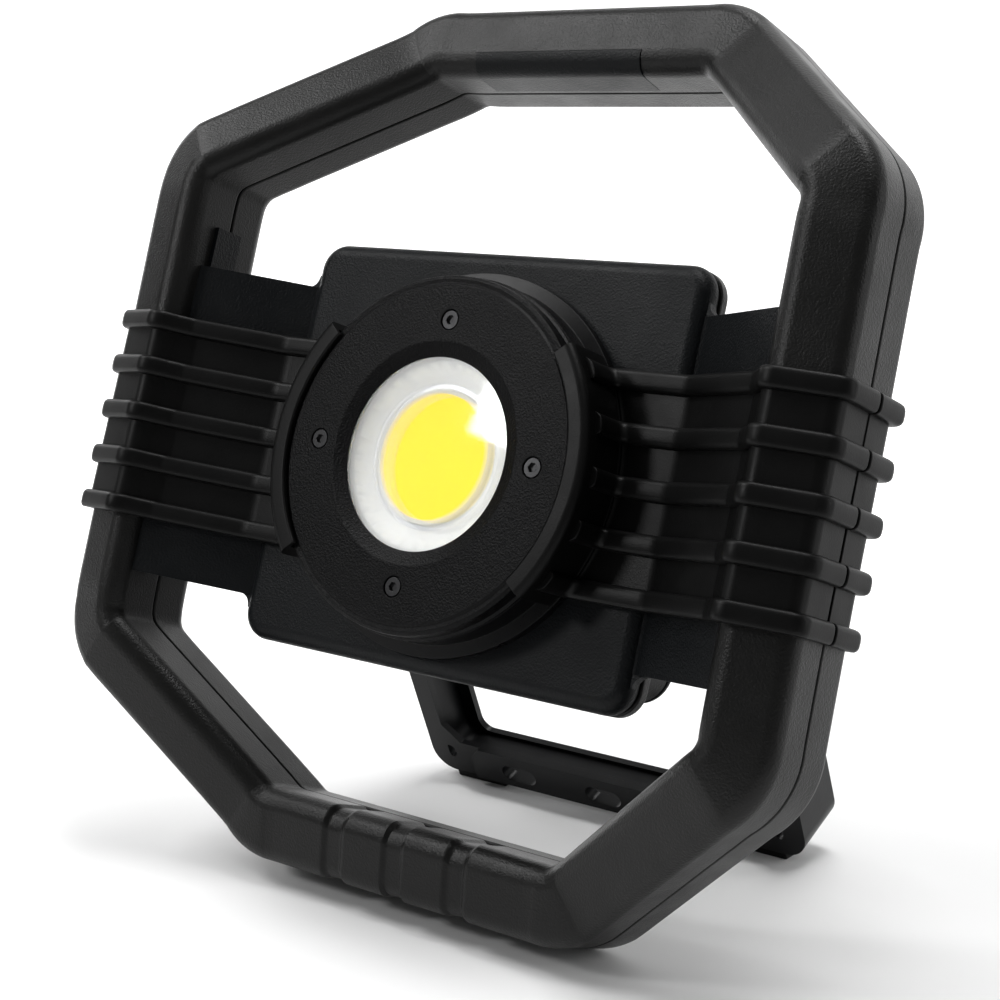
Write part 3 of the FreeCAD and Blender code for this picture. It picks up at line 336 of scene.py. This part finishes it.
def refine(node, width):
    """A copy of a CAD node with rounded edges and smooth shading, in the node's place."""
    source = frame["nodes"][node]
    piece = bpy.data.objects.new(node + "_look", source.data.copy())
    bpy.context.scene.collection.objects.link(piece)
    cage = bmesh.new()
    cage.from_mesh(piece.data)
    bmesh.ops.remove_doubles(cage, verts=cage.verts, dist=WELD)
    bmesh.ops.dissolve_limit(cage, angle_limit=math.radians(FLAT_ANGLE), verts=cage.verts, edges=cage.edges)
    cage.to_mesh(piece.data)
    cage.free()
    bevel(piece, width)
    stand_for(piece, node)


# ---------------------------------------------------------------- outlines

SHARED_SIDE = 0.48
WHOLE_SIDE = 0.98


def unit(x, z):
    size = math.hypot(x, z)
    return x / size, z / size


def rounded_loop(corners, steps):
    """A closed outline: each (a, b, radius) corner becomes an arc of short chords.

    An arc takes nearly all of a side whose other end is sharp, and not quite half of one whose other end
    is round.
    """
    path = []
    count = len(corners)
    for i in range(count):
        (ax, ay, _), (bx, by, radius), (cx, cy, _) = corners[i - 1], corners[i], corners[(i + 1) % count]
        before = math.hypot(bx - ax, by - ay)
        after = math.hypot(cx - bx, cy - by)
        u1 = ((bx - ax) / before, (by - ay) / before)
        u2 = ((cx - bx) / after, (cy - by) / after)
        cross = u1[0] * u2[1] - u1[1] * u2[0]
        turn = math.atan2(abs(cross), u1[0] * u2[0] + u1[1] * u2[1])
        if turn < 1e-4:
            path += [(bx, by)] * (steps + 1)
            continue
        side = 1 if cross > 0 else -1
        room_before = before * (SHARED_SIDE if corners[i - 1][2] > 0 else WHOLE_SIDE)
        room_after = after * (SHARED_SIDE if corners[(i + 1) % count][2] > 0 else WHOLE_SIDE)
        tangent = min(radius * math.tan(turn / 2), room_before, room_after)
        reach = tangent / math.tan(turn / 2)
        start = (bx - u1[0] * tangent, by - u1[1] * tangent)
        centre = (start[0] - u1[1] * reach * side, start[1] + u1[0] * reach * side)
        for step in range(steps + 1):
            angle = turn * step / steps
            ox = u1[1] * math.cos(angle) * side + u1[0] * math.sin(angle)
            oy = -u1[0] * math.cos(angle) * side + u1[1] * math.sin(angle)
            path.append((centre[0] + ox * reach, centre[1] + oy * reach))
    return path


# ---------------------------------------------------------------- carrying frame


def frame_outline():
    """Outer corners (x, z, nose depth) of the frame, anticlockwise from the lower right."""
    right = [
        (HALF_BOTTOM_BAR, -BOTTOM, -BOTTOM_FORWARD),
        (HALF_WIDTH, -SHOULDER_BOTTOM, -SIDE_FORWARD_BOTTOM),
        (HALF_WIDTH, SHOULDER_TOP, -SIDE_FORWARD_TOP),
        (HALF_TOP_BAR, TOP, 0.0),
    ]
    return right + [(-x, z, y) for x, z, y in reversed(right)]


def inner_corners():
    """Corners of the frame's inner outline: the outer one moved inwards by the bar's width."""
    corners = frame_outline()
    count = len(corners)
    inner = []
    for i in range(count):
        before, here, after = corners[i - 1], corners[i], corners[(i + 1) % count]
        u1 = unit(here[0] - before[0], here[1] - before[1])
        u2 = unit(after[0] - here[0], after[1] - here[1])
        n1 = (-u1[1], u1[0])
        n2 = (-u2[1], u2[0])
        reach = BAR / (1 + n1[0] * n2[0] + n1[1] * n2[1])
        inner.append((here[0] + (n1[0] + n2[0]) * reach, here[1] + (n1[1] + n2[1]) * reach, here[2]))
    return inner


def frame_stations():
    """Stations round the frame's inner outline: (x, z, nose depth, outward direction)."""
    corners = inner_corners()
    count = len(corners)
    stations = []
    for i in range(count):
        before, here, after = corners[i - 1], corners[i], corners[(i + 1) % count]
        length_before = math.hypot(here[0] - before[0], here[1] - before[1])
        length_after = math.hypot(after[0] - here[0], after[1] - here[1])
        u1 = unit(here[0] - before[0], here[1] - before[1])
        u2 = unit(after[0] - here[0], after[1] - here[1])
        turn = math.acos(u1[0] * u2[0] + u1[1] * u2[1])
        tangent = INNER_BEND * math.tan(turn / 2)
        start = (here[0] - u1[0] * tangent, here[1] - u1[1] * tangent)
        centre = (start[0] - u1[1] * INNER_BEND, start[1] + u1[0] * INNER_BEND)
        y_start = here[2] + (before[2] - here[2]) * tangent / length_before
        y_end = here[2] + (after[2] - here[2]) * tangent / length_after
        for step in range(BEND_STEPS + 1):
            share = step / BEND_STEPS
            angle = turn * share
            out = (
                u1[1] * math.cos(angle) + u1[0] * math.sin(angle),
                -u1[0] * math.cos(angle) + u1[1] * math.sin(angle),
            )
            x = centre[0] + out[0] * INNER_BEND
            z = centre[1] + out[1] * INNER_BEND
            nose = y_start * (1 - share) ** 2 + 2 * here[2] * share * (1 - share) + y_end * share ** 2
            stations.append((x, z, nose, out))
    return eased(with_straights(stations))


def eased(stations):
    """Blends the nose depth along the bars, so that a bend in depth is spread over its neighbourhood."""
    count = len(stations)
    steps = []
    for i in range(count):
        here, after = stations[i], stations[(i + 1) % count]
        steps.append(math.hypot(after[0] - here[0], after[1] - here[1]))
    smooth = []
    for i, (x, z, nose, out) in enumerate(stations):
        total, weight = 0.0, 0.0
        for direction in (-1, 1):
            along, k = 0.0, i
            while along < EASE_REACH:
                share = steps[k % count] * (1 - along / EASE_REACH)
                total += stations[k % count][2] * share
                weight += share
                along += max(steps[k % count if direction > 0 else (k - 1) % count], 1e-3)
                k += direction
        smooth.append((x, z, total / weight, out))
    return smooth


def on_bottom_bar(z):
    return z < -BOTTOM + BAR + 1


def with_straights(stations):
    """Adds stations along the straight bars, closer together where the grooves are."""
    full = []
    count = len(stations)
    for i in range(count):
        here, after = stations[i], stations[(i + 1) % count]
        full.append(here)
        length = math.hypot(after[0] - here[0], after[1] - here[1])
        step = GROOVE_STEP if on_bottom_bar(max(here[1], after[1])) else STRAIGHT_STEP
        pieces = int(length // step)
        for k in range(1, pieces):
            share = k / pieces
            middle = [here[n] + (after[n] - here[n]) * share for n in range(3)]
            full.append((middle[0], middle[1], middle[2], here[3]))
    return full


def groove_depth(x, z):
    """How deep the grooves cut into the front of the bottom bar at a station."""
    if not on_bottom_bar(z):
        return 0.0
    share = 0.0
    for centre in GROOVE_CENTRES:
        edge = GROOVE_WIDTH / 2 + 0.5 - abs(x - centre)
        share = max(share, min(1.0, max(0.0, edge / GROOVE_SLOPE)))
    return GROOVE_DEPTH * share


def sweep(name, profile_at):
    """Sweeps a bar profile of (outward, depth) pairs round the whole frame."""
    rows = []
    for x, z, nose, out in frame_stations():
        row = []
        for o, d in profile_at(groove_depth(x, z)):
            row.append((x + out[0] * o, nose + d, z + out[1] * o))
        rows.append(row)
    return lofted(name, rows, close_rows=True)


def front_profile(sunk):
    """The front shell's section; sunk draws its skin inwards."""
    low, high = sunk, BAR - sunk
    return rounded_loop([
        (low, PARTING, RIM_R),
        (low, sunk + NOSE_INNER, NOSE_INNER_R),
        (high, sunk + NOSE_OUTER, NOSE_OUTER_R),
        (high, PARTING, RIM_R),
        (BAR - WALL, PARTING, WALL_RIM_R),
        (BAR - WALL, NOSE_OUTER + WALL, NOSE_OUTER_R - WALL),
        (WALL, NOSE_INNER + WALL, NOSE_INNER_R - WALL),
        (WALL, PARTING, WALL_RIM_R),
    ], 7)


def rear_profile(_):
    """The rear shell's section, which has no grooves."""
    front = PARTING + PARTING_GAP
    return rounded_loop([
        (0.0, front, RIM_R),
        (0.0, BAR_DEPTH, BACK_INNER_R),
        (BAR, BAR_DEPTH, BACK_OUTER_R),
        (BAR, front, RIM_R),
        (BAR - WALL, front, WALL_RIM_R),
        (BAR - WALL, BAR_DEPTH - WALL, 1.5),
        (WALL, BAR_DEPTH - WALL, 1.9),
        (WALL, front, WALL_RIM_R),
    ], 6)


def insert_strip(name, outside, seam):
    """The top insert's form, or its space grown by the seam; outside is how far its skin stands out."""
    face = (INSERT_RISE + seam) * (NOSE_OUTER - NOSE_INNER) / BAR + NOSE_INNER
    inside = INSERT_DEPTH + seam
    back = INSERT_BACK + seam
    section = rounded_loop([
        (-outside, back, 0.0),
        (-outside, NOSE_INNER - outside, NOSE_INNER_R + outside),
        (INSERT_RISE + seam, face - outside, 0.0),
        (INSERT_RISE + seam, face + inside, 0.0),
        (inside, NOSE_INNER + inside, NOSE_INNER_R - inside),
        (inside, back, 0.0),
    ], 8)
    rows = []
    for x in (INSERT_MIDDLE - INSERT_HALF - seam, INSERT_MIDDLE + INSERT_HALF + seam):
        rows.append([(x - INSERT_SLANT * d / INSERT_BACK, d, TOP - BAR + o) for o, d in section])
    return lofted(name, rows)


def frame_screw_places():
    """Places (x, z, depth of the bar's back) of the screws that hold the two shells together."""
    rise = (SIDE_FORWARD_TOP - SIDE_FORWARD_BOTTOM) / (SHOULDER_TOP + SHOULDER_BOTTOM)
    places = []
    for side in (-1, 1):
        places.append((side * HALF_TOP_BAR * SCREW_SHARE, TOP - BAR / 2, BAR_DEPTH))
        places.append((side * HALF_BOTTOM_BAR * SCREW_SHARE, -BOTTOM + BAR / 2, BAR_DEPTH - BOTTOM_FORWARD))
        for z in (SHOULDER_TOP - SCREW_FROM_SHOULDER, -SHOULDER_BOTTOM + SCREW_FROM_SHOULDER):
            nose = -SIDE_FORWARD_BOTTOM - (z + SHOULDER_BOTTOM) * rise
            places.append((side * (HALF_WIDTH - BAR / 2), z, nose + BAR_DEPTH))
    return places


def build_frame():
    """Both shells of the carrying frame, with the insert in the top bar."""
    front = sweep("frame_front", front_profile)
    space = insert_strip("insert_space", 0.6, SEAM)
    cut_away(front, space)
    insert = insert_strip("top_insert", INSERT_PROUD, 0.0)
    bevel(insert, 0.25, angle=50.0)
    stand_for(insert, "top_grip_insert")
    stand_for(front, "frame_front_shell")
    rear = sweep("frame_rear", rear_profile)
    pockets = [(x, z, back - SCREW_POCKET_DEPTH, back + 4.0) for x, z, back in frame_screw_places()]
    cut_discs(rear, pockets, SCREW_POCKET_R)
    stand_for(rear, "frame_rear_shell")


# ---------------------------------------------------------------- rubber grips


def side_nose():
    """Depth of the side bar's nose at the lamp's axis."""
    share = SHOULDER_BOTTOM / (SHOULDER_BOTTOM + SHOULDER_TOP)
    return -(SIDE_FORWARD_BOTTOM * (1 - share) + SIDE_FORWARD_TOP * share)


def rib_stations():
    """Heights and rib shares (0 between the ribs, 1 on a crest) up the grip."""
    stations = []
    for index in range(RIB_COUNT):
        middle = (index - (RIB_COUNT - 1) / 2) * RIB_PITCH
        for step in range(RIB_STEPS + 1):
            angle = math.pi * (step / RIB_STEPS - 0.5)
            across = math.copysign(abs(math.sin(angle)) ** RIB_SQUARENESS, angle)
            rise = max(0.0, math.cos(angle)) ** RIB_SQUARENESS
            stations.append((middle + across * RIB_WIDTH / 2, rise))
        if index < RIB_COUNT - 1:
            for share in (0.35, 0.65):
                gap = RIB_PITCH - RIB_WIDTH
                stations.append((middle + RIB_WIDTH / 2 + gap * share, 0.0))
    low, high = -GRIP_HALF_HEIGHT, GRIP_HALF_HEIGHT
    return [(min(max(z, low), high), rise) for z, rise in stations]


def front_grip_row(z, rise):
    """The front grip's outline at one height: its skin, then back along the parts it covers."""
    nose = side_nose()
    bar_in = HALF_WIDTH - BAR
    bridge_y = nose + BRIDGE_ROOT
    lift = GRIP_SKIN + (RIB_HEIGHT - GRIP_SKIN) * rise
    panel = lift + PANEL_SKIN - GRIP_SKIN
    foot_y = FRONT_FACE - panel
    wall_x = math.sqrt((LIP_R - 0.6 + (0.6 + lift * 0.6) * rise) ** 2 - z ** 2)
    back = nose + PARTING - 0.4
    outer = [
        (HALF_WIDTH + lift, back, 0.5),
        (HALF_WIDTH + lift * 0.9, nose + 3.6 - lift * 0.35, 5.0),
        (bar_in + 3.2, nose - 1.6 - lift * 0.95, 5.0),
        (bar_in - lift * 0.5, nose + 4.6 - lift * 0.8, 3.0),
        (bar_in - 5.0, bridge_y + 2.6 - panel * 1.1, 4.0),
        (HOUSING_HALF + 2.0, FRONT_FACE - 0.6 - panel, 8.0),
        (wall_x, foot_y, 2.4),
        (wall_x, BEZEL_FRONT + 3.2, 0.4),
    ]
    inner = [
        (wall_x - 4.0, BEZEL_FRONT + 3.2, 0.2),
        (wall_x - 4.0, FRONT_FACE - GRIP_SINK, 0.2),
        (HOUSING_HALF + 1.0, FRONT_FACE - GRIP_SINK, 3.0),
        (bar_in - 5.0, bridge_y + 2.2, 3.0),
        (bar_in + GRIP_SINK, nose + 6.0, 3.0),
        (bar_in + 3.2, nose + 0.6, 3.0),
        (HALF_WIDTH - GRIP_SINK, nose + 6.0, 5.0),
        (HALF_WIDTH - GRIP_SINK, back, 0.2),
    ]
    return [(x, y, z) for x, y in rounded_loop(outer + inner, 5)]


def rear_grip_row(z, rise):
    """The rear grip's closed outline at one height."""
    nose = side_nose()
    bar_in = HALF_WIDTH - BAR
    lift = GRIP_SKIN + (RIB_HEIGHT - GRIP_SKIN) * rise
    front = nose + PARTING + PARTING_GAP + 0.2
    back = nose + BAR_DEPTH
    corners = [
        (HALF_WIDTH + lift, front, 0.5),
        (HALF_WIDTH + lift, back + lift * 0.9, 5.0),
        (bar_in - lift, back + lift * 0.9, 5.0),
        (bar_in - lift, front + 3.0, 0.6),
        (bar_in + GRIP_SINK, front + 3.0, 0.1),
        (bar_in + GRIP_SINK, back - GRIP_SINK, 4.0),
        (HALF_WIDTH - GRIP_SINK, back - GRIP_SINK, 4.0),
        (HALF_WIDTH - GRIP_SINK, front, 0.1),
    ]
    return [(x, y, z) for x, y in rounded_loop(corners, 6)]


def lip_rows():
    """The arc-shaped lip round the bezel's edge, as cross-sections along its arc."""
    section = rounded_loop([
        (BEZEL_R - 2.4, BEZEL_FRONT - 0.05, 0.1),
        (BEZEL_R - 2.4, LIP_FRONT, 1.0),
        (LIP_R, LIP_FRONT, 2.6),
        (LIP_R, FRONT_FACE - 0.3, 0.1),
        (BARREL_R + 0.1, FRONT_FACE - 0.3, 0.1),
        (BARREL_R + 0.1, BEZEL_FRONT + 3.6, 0.1),
        (BEZEL_R + 0.2, BEZEL_FRONT + 3.4, 0.1),
        (BEZEL_R + 0.2, BEZEL_FRONT - 0.05, 0.1),
    ], 6)
    rows = []
    for step in range(LIP_STEPS + 1):
        angle = math.radians(LIP_ANGLE * (2 * step / LIP_STEPS - 1))
        rows.append([(r * math.cos(angle), y, r * math.sin(angle)) for r, y in section])
    return rows


def mirror_rows(rows):
    return [[(-x, y, z) for x, y, z in row] for row in rows]


def build_grips():
    """The front and rear grips on both sides; the left ones mirror the right ones."""
    stations = rib_stations()
    front = [front_grip_row(z, rise) for z, rise in stations]
    rear = [rear_grip_row(z, rise) for z, rise in stations]
    lip = lip_rows()
    for side, turned in (("right", lambda rows: rows), ("left", mirror_rows)):
        skin = lofted("grip_skin", turned(front))
        rim = lofted("grip_rim", turned(lip))
        bevel(rim, 1.0, angle=60.0)
        stand_for(joined("grip_front_" + side, [skin, rim]), "grip_" + side, angle=55.0)
        back = lofted("grip_back_" + side, turned(rear))
        stand_for(back, "grip_rear_" + side, angle=55.0)


# ---------------------------------------------------------------- materials

PATCH_SCALE = 24.0                   # noise cells in a metre, for broad patches, smudges and scuffs
SMUDGE_SCALE = 60.0
SCUFF_SCALE = 260.0
WEAR_STARTS = 0.53                   # pointiness at which an edge starts to look rubbed, and is fully so
WEAR_FULL = 0.62


class Finish:
    """Builds one procedural material in place of the plain one that came with a slot."""

    def __init__(self, slot_name, colour, roughness, metallic=0.0):
        material = bpy.data.materials[slot_name]
        material.use_nodes = True
        self.tree = material.node_tree
        self.tree.nodes.clear()
        self.shader = self.node("ShaderNodeBsdfPrincipled")
        output = self.node("ShaderNodeOutputMaterial")
        self.link(self.shader.outputs["BSDF"], output.inputs["Surface"])
        self.shader.inputs["Metallic"].default_value = metallic
        self.coords = self.node("ShaderNodeTexCoord").outputs["Object"]
        self.colour = colour
        self.roughness = roughness

    def node(self, kind, **settings):
        made = self.tree.nodes.new(kind)
        for name, value in settings.items():
            setattr(made, name, value)
        return made

    def link(self, output, target):
        self.tree.links.new(output, target)

    def noise(self, scale, detail=3.0):
        made = self.node("ShaderNodeTexNoise")
        made.inputs["Scale"].default_value = scale
        made.inputs["Detail"].default_value = detail
        made.inputs["Roughness"].default_value = 0.55
        self.link(self.coords, made.inputs["Vector"])
        return made.outputs["Fac"]

    def spread(self, value, low, high, out_low, out_high):
        """Maps a value from one range onto another."""
        made = self.node("ShaderNodeMapRange")
        made.inputs["From Min"].default_value = low
        made.inputs["From Max"].default_value = high
        made.inputs["To Min"].default_value = out_low
        made.inputs["To Max"].default_value = out_high
        self.link(value, made.inputs["Value"])
        return made.outputs["Result"]

    def vary_roughness(self, scale, amount):
        value = self.spread(self.noise(scale), 0.3, 0.7, self.roughness - amount, self.roughness + amount)
        self.link(value, self.shader.inputs["Roughness"])

    def vary_colour(self, scale, amount, wear):
        """Broad light and dark patches, and a lighter tone along worn edges."""
        patches = self.node("ShaderNodeMix", data_type="RGBA")
        patches.inputs["A"].default_value = [c * (1 - amount) for c in self.colour] + [1]
        patches.inputs["B"].default_value = [min(1.0, c * (1 + amount)) for c in self.colour] + [1]
        self.link(self.noise(scale), patches.inputs["Factor"])
        if wear == 0:
            self.link(patches.outputs["Result"], self.shader.inputs["Base Color"])
            return
        edge = self.node("ShaderNodeNewGeometry").outputs["Pointiness"]
        rubbed = self.spread(edge, WEAR_STARTS, WEAR_FULL, 0.0, wear)
        broken = self.node("ShaderNodeMath", operation="MULTIPLY")
        self.link(rubbed, broken.inputs[0])
        self.link(self.spread(self.noise(SCUFF_SCALE), 0.4, 0.62, 0.0, 1.0), broken.inputs[1])
        worn = self.node("ShaderNodeMix", data_type="RGBA")
        self.link(patches.outputs["Result"], worn.inputs["A"])
        worn.inputs["B"].default_value = [min(1.0, c * 1.6 + 0.10) for c in self.colour] + [1]
        self.link(broken.outputs[0], worn.inputs["Factor"])
        self.link(worn.outputs["Result"], self.shader.inputs["Base Color"])

    def grain(self, scale, height):
        """Moulded or cast grain; the height is in millimetres."""
        bump = self.node("ShaderNodeBump")
        bump.inputs["Strength"].default_value = 1.0
        bump.inputs["Distance"].default_value = height / 1000
        self.link(self.noise(scale, detail=2.0), bump.inputs["Height"])
        self.link(bump.outputs["Normal"], self.shader.inputs["Normal"])


def paint(slot_name, colour, roughness, metallic=0.0, patch=0.10, wear=0.0, rough_spread=0.05,
          grain_scale=2600.0, grain_height=0.02, shine=0.5):
    """One finish; shine is the strength of its mirror reflection."""
    finish = Finish(slot_name, colour, roughness, metallic)
    finish.vary_colour(PATCH_SCALE, patch, wear)
    finish.vary_roughness(SMUDGE_SCALE, rough_spread)
    finish.grain(grain_scale, grain_height)
    finish.shader.inputs["Specular IOR Level"].default_value = shine
    return finish


def painted_glow(finish, colour, strength):
    """Paints a glow into a finish: emission that stands in for light falling on the part, not light it
    gives out.
    """
    finish.shader.inputs["Emission Color"].default_value = (*colour, 1.0)
    finish.shader.inputs["Emission Strength"].default_value = strength


def build_materials():
    """One finish for each slot of the CAD record."""
    paint("black_plastic", (0.0036, 0.0036, 0.0034), 0.38, wear=0.10, grain_scale=1500.0, grain_height=0.16,
          shine=0.22)
    paint("grained_plastic", (0.002, 0.0026, 0.0032), 0.42, grain_scale=1500.0, grain_height=0.20,
          shine=0.14)
    paint("black_rubber", (0.0018, 0.0018, 0.0018), 0.42, wear=0.06, grain_scale=1700.0, grain_height=0.05,
          shine=0.13)
    paint("head_metal", (0.0018, 0.0018, 0.002), 0.30, grain_scale=1900.0, grain_height=0.02, shine=0.12)
    paint("bezel_metal", (0.0016, 0.0016, 0.0018), 0.34, grain_scale=1600.0, grain_height=0.22, shine=0.09)
    paint("black_screw", (0.02, 0.02, 0.021), 0.34, metallic=0.6, shine=0.3)
    paint("seal_rubber", (0.004, 0.004, 0.004), 0.6, shine=0.2)
    paint("aluminium", (0.75, 0.76, 0.78), 0.33, metallic=1.0, grain_height=0.006)
    paint("thermal_paste", (0.55, 0.57, 0.6), 0.7)
    paint("circuit_board", (0.03, 0.22, 0.1), 0.35, grain_height=0.004)
    paint("component_black", (0.04, 0.04, 0.04), 0.5)
    paint("cell_sleeve", (0.1, 0.32, 0.5), 0.4, grain_height=0.004)
    paint("holder_plastic", (0.12, 0.12, 0.13), 0.5)
    paint("nickel", (0.72, 0.7, 0.66), 0.3, metallic=1.0, grain_height=0.004)
    paint("steel", (0.6, 0.6, 0.62), 0.3, metallic=1.0, grain_height=0.004)
    paint("button_rubber", (0.012, 0.012, 0.013), 0.55, shine=0.3)
    paint("window_clear", (0.02, 0.022, 0.024), 0.15, grain_height=0.002)
    paint("led_white", (0.8, 0.82, 0.75), 0.3, grain_height=0.002)
    paint("lead_red", (0.45, 0.04, 0.03), 0.45)
    paint("stand_metal", (0.006, 0.0062, 0.0067), 0.34, grain_scale=1700.0, grain_height=0.03, shine=0.17)
    paint("washer_nylon", (0.03, 0.03, 0.03), 0.5)
    white = paint("white_reflector", (0.88, 0.89, 0.89), 0.25, patch=0.02, grain_height=0.002)
    # painted light: emission makes the white reflector glow brighter than the lamps light it
    painted_glow(white, (1.0, 1.0, 0.97), 0.2)
    dam = paint("white_ceramic", (0.85, 0.84, 0.76), 0.4, patch=0.03, grain_height=0.004)
    # painted light: emission makes the white ceramic dam glow brighter than the lamps light it
    painted_glow(dam, (1.0, 0.98, 0.85), 0.12)
    glow = paint("light_surface", (1.0, 0.72, 0.02), 0.5, patch=0.08, grain_scale=1300.0, grain_height=0.06)
    # painted light: emission brightens the LED surface's yellow, standing in for light falling on it
    painted_glow(glow, (1.0, 0.78, 0.03), 0.5)
    pane = paint("clear_lens", (0.97, 0.98, 0.99), 0.03, patch=0.01, rough_spread=0.01, grain_height=0.0005)
    pane.shader.inputs["Transmission Weight"].default_value = 1.0
    pane.shader.inputs["IOR"].default_value = 1.45
    pane.shader.inputs["Alpha"].default_value = 0.5


# ---------------------------------------------------------------- room


def add_camera():
    data = bpy.data.cameras.new("camera")
    data.lens = LENS_LENGTH
    data.sensor_width = SENSOR_WIDTH
    data.clip_start = NEAR_CLIP
    camera = bpy.data.objects.new("camera", data)
    camera.location = CAMERA_PLACE
    camera.rotation_euler = Vector(CAMERA_AIM).to_track_quat("-Z", "Y").to_euler()
    bpy.context.scene.collection.objects.link(camera)
    bpy.context.scene.camera = camera


def paper_material():
    """Pale paper that is lit by the lamps near the light, and glows evenly far behind it."""
    material = bpy.data.materials.new("paper")
    material.use_nodes = True
    nodes, links = material.node_tree.nodes, material.node_tree.links
    shader = nodes["Principled BSDF"]
    shader.inputs["Base Color"].default_value = (0.88, 0.88, 0.88, 1)
    shader.inputs["Roughness"].default_value = 0.9
    shader.inputs["Specular IOR Level"].default_value = 0.1
    shader.inputs["Emission Color"].default_value = (1, 1, 1, 1)
    coords = nodes.new("ShaderNodeTexCoord")
    distance = nodes.new("ShaderNodeVectorMath")
    distance.operation = "DOT_PRODUCT"
    distance.inputs[1].default_value = (CAMERA_AIM[0], CAMERA_AIM[1], 0.0)
    links.new(coords.outputs["Object"], distance.inputs[0])
    glow = nodes.new("ShaderNodeMapRange")
    glow.interpolation_type = "SMOOTHSTEP"
    glow.inputs["From Min"].default_value = GLOW_START
    glow.inputs["From Max"].default_value = GLOW_END
    glow.inputs["To Min"].default_value = 0.0
    glow.inputs["To Max"].default_value = GLOW_STRENGTH
    links.new(distance.outputs["Value"], glow.inputs["Value"])
    links.new(glow.outputs["Result"], shader.inputs["Emission Strength"])
    return material


def add_floor():
    """A pale floor that curves up into a backdrop behind the light."""
    line = [(FLOOR_FRONT, 0.0)]
    for step in range(FLOOR_BEND_STEPS + 1):
        angle = math.pi / 2 * step / FLOOR_BEND_STEPS
        line.append((FLOOR_BACK + FLOOR_BEND * math.sin(angle), FLOOR_BEND * (1 - math.cos(angle))))
    line.append((FLOOR_BACK + FLOOR_BEND, BACKDROP_TOP))
    verts = []
    for y, z in line:
        verts += [(-FLOOR_HALF, y, z), (FLOOR_HALF, y, z)]
    faces = [(2 * i, 2 * i + 1, 2 * i + 3, 2 * i + 2) for i in range(len(line) - 1)]
    floor = new_object("floor", [Vector(v) for v in verts], faces)
    floor.data.shade_smooth()
    floor.data.materials.append(paper_material())


def add_softbox(name, place, target, size, power):
    data = bpy.data.lights.new(name, "AREA")
    data.shape = "RECTANGLE"
    data.size, data.size_y = size
    data.energy = power
    lamp = bpy.data.objects.new(name, data)
    lamp.location = place
    lamp.rotation_euler = (Vector(target) - Vector(place)).to_track_quat("-Z", "Y").to_euler()
    bpy.context.scene.collection.objects.link(lamp)


def add_lens_highlight():
    """A small softbox whose mirror image lies at the upper right of the lens, as the camera sees it."""
    lens_middle = placed((0.0, LENS_FRONT, 0.0))
    facing = TILT @ Vector((0.0, -1.0, 0.0))
    seen_from = (Vector(CAMERA_PLACE) - lens_middle).normalized()
    mirrored_ray = 2 * facing.dot(seen_from) * facing - seen_from
    corner = lens_middle + mirrored_ray * HIGHLIGHT_DISTANCE
    across = Vector((0, 0, 1)).cross(mirrored_ray).normalized()
    up = mirrored_ray.cross(across)
    half = HIGHLIGHT_SIZE / 2
    centre = corner + up * (HIGHLIGHT_UP + half) + across * (HIGHLIGHT_RIGHT + half)
    add_softbox("highlight", centre, lens_middle, (HIGHLIGHT_SIZE, HIGHLIGHT_SIZE), HIGHLIGHT_POWER)


def build_room():
    """The floor, the lamps and the camera."""
    world = bpy.data.worlds.new("studio")
    world.use_nodes = True
    world.node_tree.nodes["Background"].inputs["Color"].default_value = (1, 1, 1, 1)
    world.node_tree.nodes["Background"].inputs["Strength"].default_value = WORLD_STRENGTH
    bpy.context.scene.world = world
    bpy.context.scene.view_settings.view_transform = "Standard"
    for name, place, size, power in SOFTBOXES:
        add_softbox(name, place, ROOM_MIDDLE, size, power)
    add_lens_highlight()
    add_floor()
    add_camera()


# ---------------------------------------------------------------- everything

build_materials()
build_frame()
build_grips()
for node_name, width in SOFT_EDGES.items():
    refine(node_name, width)

build_room()
